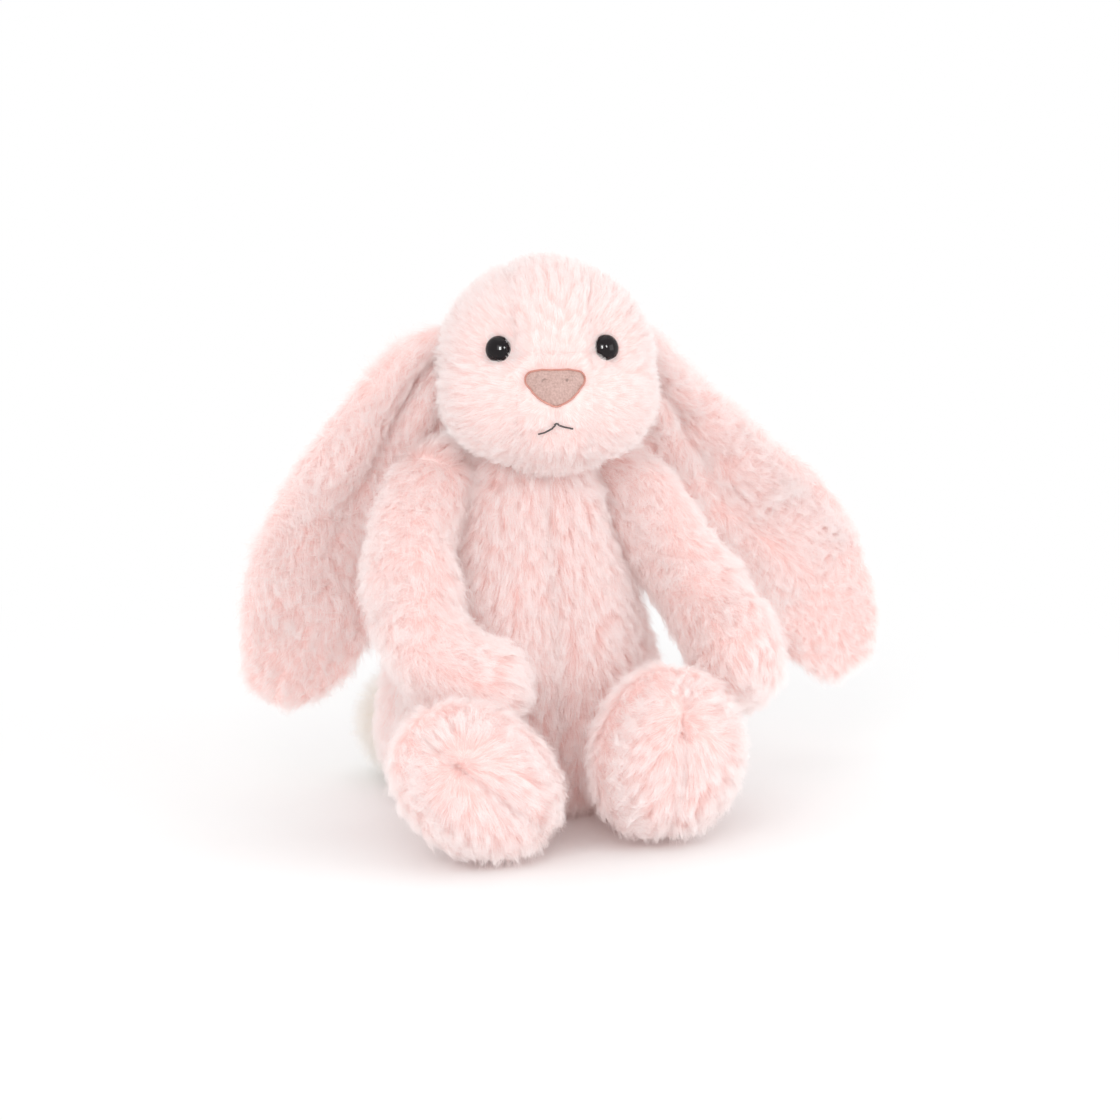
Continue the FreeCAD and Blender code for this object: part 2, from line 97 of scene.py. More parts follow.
# ---- mesh helpers
def new_object(name, data):
    obj = bpy.data.objects.new(name, data)
    bpy.context.scene.collection.objects.link(obj)
    return obj


def mesh_object(name, verts_mm, faces):
    mesh = bpy.data.meshes.new(name)
    mesh.from_pydata([tuple(v) for v in np.asarray(verts_mm) * MM], [], [tuple(f) for f in faces])
    mesh.validate()
    return new_object(name, mesh)


def evaluated_mesh(obj):
    dg = bpy.context.evaluated_depsgraph_get()
    return bpy.data.meshes.new_from_object(obj.evaluated_get(dg))


def points_mm(mesh):
    flat = np.empty(len(mesh.vertices) * 3)
    mesh.vertices.foreach_get("co", flat)
    return flat.reshape(-1, 3) / MM


def smooth_shaded(obj):
    obj.data.polygons.foreach_set("use_smooth", [True] * len(obj.data.polygons))


def place(obj, body, slot, *nodes):
    """Puts a piece on its body, in place of the named CAD nodes. The slot is not used."""
    if body:
        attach(obj, body)
    if nodes:
        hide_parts(*nodes)


def ball_template(rings=9, sectors=14):
    verts, faces = [(0, 0, 1)], []
    for i in range(1, rings):
        a = math.pi * i / rings
        for j in range(sectors):
            b = 2 * math.pi * j / sectors
            verts.append((math.sin(a) * math.cos(b), math.sin(a) * math.sin(b), math.cos(a)))
    verts.append((0, 0, -1))
    for j in range(sectors):
        k = (j + 1) % sectors
        faces.append((0, 1 + j, 1 + k))
        for i in range(rings - 2):
            a, b = 1 + i * sectors, 1 + (i + 1) * sectors
            faces.append((a + j, b + j, b + k, a + k))
        last = 1 + (rings - 2) * sectors
        faces.append((len(verts) - 1, last + k, last + j))
    return np.array(verts, float), faces


BALL, BALL_FACES = ball_template()
FINE_BALL, FINE_FACES = ball_template(40, 64)


def smooth_path(points, count):
    """Catmull-Rom through rows of numbers."""
    p = np.asarray(points, float)
    p = np.vstack([2 * p[0] - p[1], p, 2 * p[-1] - p[-2]])
    out = []
    for s in np.linspace(0, len(p) - 3, count):
        i = min(int(s), len(p) - 4)
        t = s - i
        a, b, c, d = p[i : i + 4]
        slope, square, cube = c - a, 2 * a - 5 * b + 4 * c - d, 3 * b - a - 3 * c + d
        out.append(0.5 * (2 * b + slope * t + square * t**2 + cube * t**3))
    return np.array(out)


class Shape:
    """Closed pieces that overlap; joined() makes them one even mesh."""

    def __init__(self):
        self.verts, self.faces = [], []

    def add(self, verts, faces):
        base = sum(len(v) for v in self.verts)
        self.verts.append(np.asarray(verts, float))
        self.faces += [tuple(i + base for i in f) for f in faces]

    def ellipsoid(self, centre, half, turn=np.eye(3), fine=True):
        template, faces = (FINE_BALL, FINE_FACES) if fine else (BALL, BALL_FACES)
        self.add((template * np.asarray(half, float)) @ np.asarray(turn).T + np.asarray(centre), faces)

    def sweep(self, stations, count=60):
        """Balls along a path; each station is (x, y, z, radius)."""
        for x, y, z, r in smooth_path(stations, count):
            self.ellipsoid((x, y, z), (r, r, r), fine=False)

    def rings(self, stations, count=50, sectors=72):
        """Oval sections; each station is (z, x, y, half width, half depth)."""
        rows = smooth_path(stations, count)
        angle = np.linspace(0, 2 * math.pi, sectors, endpoint=False)
        verts = [
            np.column_stack([x + a * np.cos(angle), y + b * np.sin(angle), np.full(sectors, z)])
            for z, x, y, a, b in rows
        ]
        verts.append([[rows[0][1], rows[0][2], rows[0][0]], [rows[-1][1], rows[-1][2], rows[-1][0]]])
        faces, end = [], count * sectors
        for i in range(count - 1):
            for j in range(sectors):
                k = (j + 1) % sectors
                a, b = i * sectors, (i + 1) * sectors
                faces.append((a + j, a + k, b + k, b + j))
        for j in range(sectors):
            k = (j + 1) % sectors
            faces.append((end, k, j))
            faces.append((end + 1, (count - 1) * sectors + j, (count - 1) * sectors + k))
        self.add(np.vstack(verts), faces)

    def joined(self, name, voxel=VOXEL, smooth=12):
        obj = mesh_object(name, np.vstack(self.verts), self.faces)
        remesh = obj.modifiers.new("Remesh", "REMESH")
        remesh.mode, remesh.voxel_size = "VOXEL", voxel
        relax = obj.modifiers.new("Relax", "SMOOTH")
        relax.factor, relax.iterations = 0.5, smooth
        made = evaluated_mesh(obj)
        verts = points_mm(made)
        faces = [tuple(p.vertices) for p in made.polygons]
        bpy.data.objects.remove(obj)
        bpy.data.meshes.remove(made)
        return verts, faces


def normals_of(verts, faces):
    tri = np.array([f[:3] for f in faces])
    if any(len(f) == 4 for f in faces):
        quad = np.array([(f[0], f[2], f[3]) for f in faces if len(f) == 4])
        tri = np.vstack([tri, quad])
    n = np.cross(verts[tri[:, 1]] - verts[tri[:, 0]], verts[tri[:, 2]] - verts[tri[:, 0]])
    out = np.zeros_like(verts)
    for k in range(3):
        np.add.at(out, tri[:, k], n)
    return out / (np.linalg.norm(out, axis=1, keepdims=True) + 1e-12)


SNAP = 0.08  # a vertex this near a seam plane moves onto the seam


def cut_along(verts, faces, planes):
    """Adds an exact edge loop where each seam plane (point, normal) crosses the mesh."""
    mesh = bmesh.new()
    made = [mesh.verts.new(v) for v in verts]
    for f in faces:
        mesh.faces.new([made[i] for i in f])
    for point, normal in planes:
        everything = mesh.verts[:] + mesh.edges[:] + mesh.faces[:]
        bmesh.ops.bisect_plane(
            mesh, geom=everything, dist=SNAP, plane_co=Vector(point), plane_no=Vector(normal)
        )
    bmesh.ops.triangulate(mesh, faces=[f for f in mesh.faces if len(f.verts) > 4])
    mesh.verts.index_update()
    out = np.array([v.co[:] for v in mesh.verts])
    polygons = [tuple(v.index for v in f.verts) for f in mesh.faces]
    mesh.free()
    return out, polygons


# Light, stretchy cloth: on cells this small the default mass and stiffness would hardly move.
CLOTH_CELL, CLOTH_STEPS = 5.0, 20
CLOTH_MASS, CLOTH_STRETCH, CLOTH_SHEAR, CLOTH_BEND = 0.003, 1.0, 0.35, 0.05


def stuffed(verts, faces, pinned, pressure=1200.0, cap=4.0):
    """Inflates a sewn form with cloth pressure, held where pinned(points) is true.

    A coarse copy is simulated; its movement, less the overall swelling, is carried over to the form.
    """
    coarse = mesh_object("cloth_proxy", verts, faces)
    remesh = coarse.modifiers.new("Remesh", "REMESH")
    remesh.mode, remesh.voxel_size = "VOXEL", CLOTH_CELL * MM
    plain = evaluated_mesh(coarse)
    coarse.modifiers.clear()
    coarse.data = plain
    start = points_mm(plain)
    group = coarse.vertex_groups.new(name="sewn")
    group.add([int(i) for i in np.where(pinned(start))[0]], 1.0, "REPLACE")
    cloth = coarse.modifiers.new("Cloth", "CLOTH")
    rules = cloth.settings
    rules.quality, rules.mass, rules.air_damping = 6, CLOTH_MASS, 2.0
    rules.tension_stiffness = rules.compression_stiffness = CLOTH_STRETCH
    rules.shear_stiffness, rules.bending_stiffness = CLOTH_SHEAR, CLOTH_BEND
    rules.vertex_group_mass = "sewn"
    rules.use_pressure, rules.uniform_pressure_force = True, pressure
    rules.effector_weights.gravity = 0.0
    cloth.collision_settings.use_collision = False
    scene = bpy.context.scene
    for step in range(1, CLOTH_STEPS + 1):
        scene.frame_set(step)
    shift = points_mm(evaluated_mesh(coarse)) - start
    scene.frame_set(1)
    bpy.data.objects.remove(coarse)
    size = np.linalg.norm(shift, axis=1, keepdims=True)
    shift *= np.minimum(1.0, cap / np.maximum(size, 1e-9))
    tree = KDTree(len(start))
    for n, p in enumerate(start):
        tree.insert(p, n)
    tree.balance()
    carried = np.zeros_like(verts)
    for n, p in enumerate(verts):
        near = tree.find_n(p, 4)
        weights = np.array([1.0 / (gap + 0.3) ** 2 for _, _, gap in near])
        carried[n] = weights @ shift[[i for _, i, _ in near]] / weights.sum()
    n = normals_of(verts, faces)
    swelling = float((carried * n).sum(1).mean())
    print("cloth moved up to %.2f mm, swelling %.2f mm" % (np.linalg.norm(carried, axis=1).max(), swelling))
    return verts + carried - n * swelling


def dent(distance, width):
    return np.exp(-((distance / width) ** 2))


def waves(p, scale, seed, octaves=2):
    """Smooth pseudo-random field from a few fixed sines, about -1 to 1."""
    rng = np.random.default_rng(seed)
    total, size = np.zeros(len(p)), 1.0
    for _ in range(octaves):
        for _ in range(5):
            k = rng.normal(size=3)
            k *= 2 * math.pi / (scale * size * np.linalg.norm(k))
            total += size * np.sin(p @ k + rng.uniform(0, 6.3)) / 3
        size *= 0.5
    return total


# ---- materials
def new_material(name):
    mat = bpy.data.materials.new(name)
    mat.use_nodes = True
    tree = mat.node_tree
    tree.nodes.clear()
    return mat, tree


def node(tree, kind, **values):
    made = tree.nodes.new(kind)
    for key, value in values.items():
        if key in made.inputs:
            made.inputs[key].default_value = value
        else:
            setattr(made, key, value)
    return made


def wire(tree, *pairs):
    for source, target in pairs:
        tree.links.new(source, target)


def mottled(tree, where, low, high, scale, detail, span):
    """A colour that drifts between low and high; span is where the ramp starts and ends."""
    noise = node(tree, "ShaderNodeTexNoise", Scale=scale, Detail=detail)
    ramp = node(tree, "ShaderNodeValToRGB")
    for stop, colour, position in zip(ramp.color_ramp.elements, (low, high), span):
        stop.color, stop.position = (*colour, 1), position
    wire(tree, (where.outputs["Object"], noise.inputs["Vector"]), (noise.outputs[0], ramp.inputs[0]))
    return ramp.outputs[0]


THROUGH_SHARE, GLOSS_SHARE = 0.38, 0.22  # how much of a strand's light passes through, and is sheen
TIP_START = 0.75  # share of the strand's length where its colour has become that of the tip
# colour of the painted glow, an emission on the strands that stands in for light bounced between them
PAINTED_GLOW_COLOUR = (1.0, 0.54, 0.47, 1)


def fur_material(name, root, tip, shade, glow):
    mat, tree = new_material(name)
    out = node(tree, "ShaderNodeOutputMaterial")
    info = node(tree, "ShaderNodeHairInfo")
    ramp = node(tree, "ShaderNodeValToRGB")
    ramp.color_ramp.elements[0].color = (*root, 1)
    ramp.color_ramp.elements[1].color = (*tip, 1)
    ramp.color_ramp.elements[1].position = TIP_START
    vary = node(tree, "ShaderNodeHueSaturation")
    vary_map = node(tree, "ShaderNodeMapRange", **{"To Min": 1 - shade, "To Max": 1 + shade})
    diffuse = node(tree, "ShaderNodeBsdfDiffuse")
    through = node(tree, "ShaderNodeBsdfTranslucent")
    gloss = node(tree, "ShaderNodeBsdfPrincipled", Roughness=0.55)
    body = node(tree, "ShaderNodeMixShader", Fac=THROUGH_SHARE)
    strand = node(tree, "ShaderNodeMixShader", Fac=GLOSS_SHARE)
    # painted glow: a faint pink emission that stands in for light bounced between the strands, so shaded
    # fur reads pink
    lit = node(tree, "ShaderNodeEmission", Strength=glow, Color=PAINTED_GLOW_COLOUR)
    both = node(tree, "ShaderNodeAddShader")
    wire(
        tree,
        (info.outputs["Intercept"], ramp.inputs[0]), (info.outputs["Random"], vary_map.inputs["Value"]),
        (vary_map.outputs[0], vary.inputs["Saturation"]), (ramp.outputs[0], vary.inputs["Color"]),
        (vary.outputs[0], diffuse.inputs["Color"]), (vary.outputs[0], through.inputs["Color"]),
        (vary.outputs[0], gloss.inputs["Base Color"]),
        (diffuse.outputs[0], body.inputs[1]), (through.outputs[0], body.inputs[2]),
        (body.outputs[0], strand.inputs[1]), (gloss.outputs[0], strand.inputs[2]),
        (strand.outputs[0], both.inputs[0]), (lit.outputs[0], both.inputs[1]),
        (both.outputs[0], out.inputs[0]),
    )
    return mat


def cloth_material(name, low, high, scale, bump=0.3, rough=0.9, sheen=0.3, weave=False):
    """Fabric with a mottled colour and a fine raised texture."""
    mat, tree = new_material(name)
    out = node(tree, "ShaderNodeOutputMaterial")
    skin = node(tree, "ShaderNodeBsdfPrincipled", Roughness=rough)
    skin.inputs["Sheen Weight"].default_value = sheen
    where = node(tree, "ShaderNodeTexCoord")
    colour = mottled(tree, where, low, high, scale, 6.0, (0.3, 0.7))
    fine = node(tree, "ShaderNodeTexVoronoi" if weave else "ShaderNodeTexNoise", Scale=scale * 6)
    lift = node(tree, "ShaderNodeBump", Strength=bump, Distance=0.0006)
    wire(
        tree,
        (where.outputs["Object"], fine.inputs["Vector"]), (fine.outputs[0], lift.inputs["Height"]),
        (colour, skin.inputs["Base Color"]), (lift.outputs[0], skin.inputs["Normal"]),
        (skin.outputs[0], out.inputs[0]),
    )
    return mat


# the last number is the strength of the painted glow on the strands
FUR_PINK = fur_material("fur_pink", (0.965, 0.80, 0.775), (0.99, 0.97, 0.965), 0.25, 0.022)
FUR_FACE = fur_material("fur_face", (0.965, 0.84, 0.82), (0.99, 0.975, 0.97), 0.25, 0.012)
FUR_CREAM = fur_material("fur_cream", (0.96, 0.91, 0.855), (0.99, 0.98, 0.965), 0.2, 0.004)
BACKING_PINK = cloth_material("plush_pink", (0.94, 0.72, 0.69), (0.96, 0.80, 0.78), 300.0)
BACKING_CREAM = cloth_material("plush_cream", (0.84, 0.82, 0.72), (0.92, 0.90, 0.83), 300.0)
SUEDE = cloth_material("nose_suede", (0.66, 0.39, 0.33), (0.90, 0.62, 0.56), 1500.0, 0.9, 0.95, 0.3)
STITCH = cloth_material("nose_thread", (0.55, 0.22, 0.17), (0.64, 0.28, 0.22), 500.0, 0.4, 0.7)
DARK = cloth_material("dark_thread", (0.020, 0.014, 0.014), (0.045, 0.035, 0.035), 900.0, 0.5, 0.55)
FIBRE = cloth_material("stuffing_fibre", (0.82, 0.82, 0.80), (0.96, 0.96, 0.95), 120.0, 0.8, 0.95, 0.6)
POUCH = cloth_material("pouch_cloth", (0.74, 0.72, 0.67), (0.84, 0.82, 0.78), 420.0, 0.5, 0.9, 0.2, True)
PELLETS = cloth_material("pellets", (0.70, 0.70, 0.68), (0.88, 0.88, 0.86), 330.0, 1.0, 0.4, 0.0, True)
THREAD = cloth_material("pink_thread", (0.78, 0.50, 0.46), (0.86, 0.60, 0.56), 700.0, 0.5, 0.6)
SATIN = cloth_material("label_satin", (0.88, 0.88, 0.87), (0.95, 0.95, 0.94), 500.0, 0.25, 0.4, 0.4, True)
WASHER = cloth_material("washer_plastic", (0.80, 0.80, 0.78), (0.86, 0.86, 0.84), 200.0, 0.15, 0.5, 0.0)


def eye_material():
    mat, tree = new_material("eye_black")
    out = node(tree, "ShaderNodeOutputMaterial")
    skin = node(tree, "ShaderNodeBsdfPrincipled", Roughness=0.07)
    skin.inputs["Specular IOR Level"].default_value = 0.22
    where = node(tree, "ShaderNodeTexCoord")
    colour = mottled(tree, where, (0.004, 0.003, 0.004), (0.016, 0.011, 0.012), 60.0, 2.0, (0.0, 1.0))
    wire(tree, (colour, skin.inputs["Base Color"]), (skin.outputs[0], out.inputs[0]))
    return mat


EYE_BLACK = eye_material()


# ---- fur
class Tree:
    """Short-hand for writing a geometry node tree."""

    def __init__(self, name):
        self.group = bpy.data.node_groups.new(name, "GeometryNodeTree")

    def add(self, kind, *wired, **values):
        made = self.group.nodes.new(kind)
        for key, value in values.items():
            setattr(made, key, value)
        for slot, source in wired:
            target = made.inputs[slot]
            if hasattr(source, "links"):
                self.group.links.new(source, target)
            else:
                target.default_value = source
        return made

    def math(self, kind, *terms):
        return self.add("ShaderNodeMath", *enumerate(terms), operation=kind).outputs[0]

    def vec(self, kind, *terms):
        made = self.add("ShaderNodeVectorMath", operation=kind)
        for n, term in enumerate(terms):
            slot = 3 if kind == "SCALE" and n == 1 else n
            if hasattr(term, "links"):
                self.group.links.new(term, made.inputs[slot])
            else:
                made.inputs[slot].default_value = term
        return made.outputs["Value" if kind in ("LENGTH", "DOT_PRODUCT") else "Vector"]

    def named(self, name, kind="FLOAT"):
        made = self.add("GeometryNodeInputNamedAttribute", ("Name", name), data_type=kind)
        return made.outputs["Attribute"]


STRAND_POINTS = 6
STRAND_LENGTHS = (0.7, 1.12)  # shortest and longest, as a share of fur_length
ROOT_SPREAD = 0.25  # how far a root tips at random
STRAND_TAPER = 0.65  # share of the radius lost by the tip
STRAY_SCALE = 320.0  # of the noise that bends strands off their path, per metre


def fur_tree(name, material, lean, clump, clump_density, curl, seed):
    """Strands on every face, laid along the uphill direction of the point attribute fur_flow.

    lean lays the strands down, clump draws them to their guide, curl (mm) lets the tips stray.
    """
    t = Tree(name)
    links = t.group.links
    for label, way, kind in (
        ("Geometry", "INPUT", "Geometry"), ("Skin", "INPUT", "Object"), ("Geometry", "OUTPUT", "Geometry")
    ):
        t.group.interface.new_socket(label, in_out=way, socket_type="NodeSocket" + kind)
    skin = t.add("GeometryNodeObjectInfo", transform_space="RELATIVE")
    links.new(t.group.nodes.new("NodeGroupInput").outputs["Skin"], skin.inputs["Object"])
    source = skin.outputs["Geometry"]
    result = t.group.nodes.new("NodeGroupOutput")

    # direction in which fur_flow grows, worked out on each face
    position = t.add("GeometryNodeInputPosition").outputs[0]
    flow_in = t.named("fur_flow")
    face = t.add("GeometryNodeInputIndex").outputs[0]

    def at_corner(vertex, field, kind):
        wired = ("Index", vertex), ("Value", field)
        return t.add("GeometryNodeFieldAtIndex", *wired, domain="POINT", data_type=kind).outputs[0]

    corner_points, corner_flows = [], []
    for n in range(3):
        corner = t.add("GeometryNodeCornersOfFace", ("Face Index", face), ("Sort Index", n)).outputs[0]
        vertex = t.add("GeometryNodeVertexOfCorner", ("Corner Index", corner)).outputs[0]
        corner_points.append(at_corner(vertex, position, "FLOAT_VECTOR"))
        corner_flows.append(at_corner(vertex, flow_in, "FLOAT"))
    e1 = t.vec("SUBTRACT", corner_points[1], corner_points[0])
    e2 = t.vec("SUBTRACT", corner_points[2], corner_points[0])
    d1 = t.math("SUBTRACT", corner_flows[1], corner_flows[0])
    d2 = t.math("SUBTRACT", corner_flows[2], corner_flows[0])
    area = t.vec("SCALE", t.vec("CROSS_PRODUCT", e1, e2), 1e6)
    uphill = t.vec(
        "ADD",
        t.vec("SCALE", t.vec("SCALE", t.vec("CROSS_PRODUCT", e2, area), d1), 1e4),
        t.vec("SCALE", t.vec("SCALE", t.vec("CROSS_PRODUCT", area, e1), d2), 1e4),
    )
    flow = t.vec("NORMALIZE", uphill)
    keep = t.add("GeometryNodeCaptureAttribute", ("Geometry", source), domain="FACE")
    keep.capture_items.new("VECTOR", "flow")
    links.new(flow, keep.inputs["flow"])

    def scatter(amount, shift):
        field = t.math("MULTIPLY", t.named("fur_density"), amount)
        return t.add(
            "GeometryNodeDistributePointsOnFaces", ("Mesh", keep.outputs["Geometry"]),
            ("Density", field), ("Seed", seed + shift), distribute_method="RANDOM",
        )

    strands = scatter(STRANDS, 0)
    guides = scatter(clump_density, 1)
    hold = t.add("GeometryNodeCaptureAttribute", ("Geometry", strands.outputs["Points"]), domain="POINT")
    for item in ("normal", "root", "guide", "flow2", "jitter"):
        hold.capture_items.new("VECTOR", item)
    for item in ("length", "clump"):
        hold.capture_items.new("FLOAT", item)
    here = t.add("GeometryNodeInputPosition").outputs[0]
    nearest = t.add("GeometryNodeSampleNearest", ("Geometry", guides.outputs["Points"]), domain="POINT")
    found = t.add("GeometryNodeSampleIndex", data_type="FLOAT_VECTOR", domain="POINT")
    links.new(guides.outputs["Points"], found.inputs["Geometry"])
    links.new(here, found.inputs["Value"])
    links.new(nearest.outputs[0], found.inputs["Index"])
    random = t.add("FunctionNodeRandomValue", ("Seed", seed + 5), data_type="FLOAT_VECTOR")
    random.inputs["Min"].default_value, random.inputs["Max"].default_value = (-1,) * 3, (1,) * 3
    short = t.add("FunctionNodeRandomValue", ("Seed", seed + 6), data_type="FLOAT")
    for label, share in zip(("Min", "Max"), STRAND_LENGTHS):
        limit = next(s for s in short.inputs if s.name == label and s.type == "VALUE" and s.enabled)
        limit.default_value = share
    short_out = next(s for s in short.outputs if s.enabled)
    links.new(strands.outputs["Normal"], hold.inputs["normal"])
    links.new(here, hold.inputs["root"])
    links.new(found.outputs[0], hold.inputs["guide"])
    links.new(keep.outputs["flow"], hold.inputs["flow2"])
    links.new(next(s for s in random.outputs if s.enabled), hold.inputs["jitter"])
    length = t.math("MULTIPLY", t.named("fur_length"), short_out)
    links.new(length, hold.inputs["length"])
    line = t.add("GeometryNodeCurvePrimitiveLine", ("Start", (0, 0, 0)), ("End", (0, 0, MM)))
    fine_line = t.add("GeometryNodeResampleCurve", ("Curve", line.outputs[0]), ("Count", STRAND_POINTS))
    placed = t.add(
        "GeometryNodeInstanceOnPoints", ("Points", hold.outputs["Geometry"]),
        ("Instance", fine_line.outputs[0]),
    )
    real = t.add("GeometryNodeRealizeInstances", ("Geometry", placed.outputs[0]))
    along = t.add("GeometryNodeSplineParameter").outputs["Factor"]

    normal, root, guide = (hold.outputs[k] for k in ("normal", "root", "guide"))
    flow_dir, jitter, size = (hold.outputs[k] for k in ("flow2", "jitter", "length"))
    up = t.vec("NORMALIZE", t.vec("ADD", normal, t.vec("SCALE", jitter, ROOT_SPREAD)))
    upright = t.vec("ADD", t.vec("SCALE", up, 1.0 - 0.45 * lean), t.vec("SCALE", flow_dir, 0.55 * lean))
    laid = t.vec("ADD", t.vec("SCALE", up, 0.75 * (1.0 - lean)), t.vec("SCALE", flow_dir, lean))
    first = t.vec("SCALE", t.vec("NORMALIZE", upright), t.math("MULTIPLY", size, along))
    turn = t.vec("SUBTRACT", t.vec("NORMALIZE", laid), t.vec("NORMALIZE", upright))
    bent = t.vec("SCALE", turn, t.math("MULTIPLY", size, t.math("POWER", along, 1.8)))
    path = t.vec("ADD", first, bent)
    pull = t.math("MULTIPLY", t.math("POWER", along, 1.3), clump)
    origin = t.vec("ADD", root, t.vec("SCALE", t.vec("SUBTRACT", guide, root), pull))
    spot = t.vec("ADD", origin, path)
    far = t.vec("SCALE", spot, STRAY_SCALE)
    noise = t.add("ShaderNodeTexNoise", ("Vector", far), ("Scale", 1.0), ("Detail", 1.0))
    stray = t.vec("SUBTRACT", noise.outputs["Color"], (0.5, 0.5, 0.5))
    loose = t.vec("ADD", t.vec("SCALE", stray, curl * MM * 2), t.vec("SCALE", jitter, curl * MM * 0.35))
    final = t.vec("ADD", spot, t.vec("SCALE", loose, along))
    moved = t.add("GeometryNodeSetPosition", ("Geometry", real.outputs[0]), ("Position", final))
    narrow = t.math("SUBTRACT", 1.0, t.math("MULTIPLY", along, STRAND_TAPER))
    taper = t.math("MULTIPLY", narrow, STRAND_RADIUS * MM)
    thick = t.add("GeometryNodeSetCurveRadius", ("Curve", moved.outputs[0]), ("Radius", taper))
    painted = t.add("GeometryNodeSetMaterial", ("Geometry", thick.outputs[0]))
    painted.inputs["Material"].default_value = material
    links.new(painted.outputs[0], result.inputs[0])
    return t.group


STRANDS = 5.0e6  # per square metre
STRAND_RADIUS = 0.046
FUR = {
    "body": fur_tree("fur_body", FUR_PINK, 0.58, 0.66, 0.06e6, 1.6, 3),
    "ear": fur_tree("fur_ear", FUR_PINK, 0.66, 0.64, 0.06e6, 1.6, 13),
    "head": fur_tree("fur_head", FUR_FACE, 0.66, 0.55, 0.12e6, 1.0, 23),
    "tail": fur_tree("fur_tail", FUR_CREAM, 0.15, 0.60, 0.05e6, 1.6, 33),
}


def furry(
    name, verts, normals, faces, flow, length, fur, density=None, backing=BACKING_PINK, thickness=1.6
):
    """A closed shell: furred outer face, plain inner face, and a rim between them."""
    density = np.ones(len(verts)) if density is None else density
    used = sorted({i for f in faces for i in f})
    index = {old: new for new, old in enumerate(used)}
    faces = [tuple(index[i] for i in f) for f in faces]
    outer = verts[used]
    inner = outer - normals[used] * thickness
    count = len(outer)
    edges = dict.fromkeys((a, b) for f in faces for a, b in zip(f, f[1:] + f[:1]))
    rim = [(b, a, a + count, b + count) for a, b in edges if (b, a) not in edges]
    back = [tuple(i + count for i in reversed(f)) for f in faces]
    obj = mesh_object(name, np.vstack([outer, inner]), faces + back + rim)
    for key, values in (("fur_flow", flow * MM), ("fur_length", length * MM), ("fur_density", density)):
        attribute = obj.data.attributes.new(key, "FLOAT", "POINT")
        inside = values[used] if key == "fur_flow" else np.zeros(count)
        attribute.data.foreach_set("value", np.concatenate([values[used], inside]).astype(np.float32))
    smooth_shaded(obj)
    obj.data.materials.append(backing)
    strands = new_object(name + "_strands", bpy.data.hair_curves.new(name + "_strands"))
    strands.parent = obj
    grow = strands.modifiers.new("Fur", "NODES")
    grow.node_group = FUR[fur]
    skin = next(i for i in FUR[fur].interface.items_tree if i.name == "Skin")
    grow[skin.identifier] = obj
    return obj


def panels(verts, faces, sorter, names, body, slot="pink_plush", **options):
    """Splits a sculpted part at its seams into furred panels. sorter gives a panel number per face.

    With no body, the panels are left on no body.
    """
    middle = np.array([verts[list(f)].mean(0) for f in faces])
    which = sorter(middle)
    normals = normals_of(verts, faces)
    made = []
    for n, node_name in enumerate(names):
        chosen = [f for f, w in zip(faces, which) if w == n]
        piece = furry(node_name + "_plush", verts, normals, chosen, **options)
        place(piece, body, slot, node_name)
        made.append(piece)
    return made


def filling(node_name, verts, faces, body, inset=3.2):
    """The stuffing inside a sculpted part, clear of its cover."""
    lumps = 0.35 * waves(verts, 9.0, 41)
    piece = mesh_object(
        node_name + "_fibre", verts - normals_of(verts, faces) * (inset + lumps)[:, None], faces
    )
    smooth_shaded(piece)
    piece.data.materials.append(FIBRE)
    place(piece, body, "polyester_stuffing", node_name)


def tufted(verts, faces, size=0.45, seed=1):
    """Small raised tufts, for the surface under the strands."""
    n = normals_of(verts, faces)
    bumps = waves(verts, 5.5, seed) * 0.5 + waves(verts, 3.2, seed + 1) * 0.5
    return verts + n * (bumps * size)[:, None]


# ---- head
HEAD_SEAM = 13.0  # half width of the crown gusset
NOSE_CENTRE = np.array([0.0, -41.0, -2.0])
NECK_IN_HEAD = row_to_head(NECK)
# (centre, half sizes): skull, nape, jaw, the two cheeks, muzzle
HEAD_FORM = [
    ((0, 1, 3.0), (34.6, 36.5, 33.8)), ((0, 6, -4.0), (33.2, 31.0, 31.0)),
    ((0, -7, -11.5), (27.0, 25.5, 24.0)), ((13.6, -13.5, -9.0), (22.2, 21.5, 20.0)),
    ((-13.6, -13.5, -9.0), (22.2, 21.5, 20.0)), ((0, -23.5, -10.5), (19.0, 16.5, 15.5)),
]
# (depth, width) of what is pressed into the face
SOCKET, BROW, CLEFT, SMILE, CROWN_SEAM = (2.3, 7.5), (2.0, 5.5), (1.2, 2.0), (0.9, 3.0), (0.5, 1.2)
CLEFT_TOP, CLEFT_BOTTOM = -8, -25

head = Shape()
for centre, half in HEAD_FORM:
    head.ellipsoid(centre, half)
verts, faces = head.joined("head_form", smooth=30)
verts, faces = cut_along(verts, faces, [
    ((HEAD_SEAM, 0, 0), (1, 0, 0)), ((-HEAD_SEAM, 0, 0), (1, 0, 0)),
])


def head_sewn(p):
    """Seams of the gusset, the eye sockets, the nose and the neck opening hold the cloth still."""
    eyes = np.hypot(np.abs(p[:, 0]) - EYE_SIDE, p[:, 2] - EYE_UP)
    nose_gap = np.linalg.norm(p - NOSE_CENTRE, axis=1)
    neck_gap = np.linalg.norm(p - NECK_IN_HEAD, axis=1)
    seam = (np.abs(np.abs(p[:, 0]) - HEAD_SEAM) < 2.5) & ((p[:, 2] > 5) | (p[:, 1] > 0))
    return seam | ((eyes < 5.0) & (p[:, 1] < 0)) | (nose_gap < 11) | (neck_gap < 27)


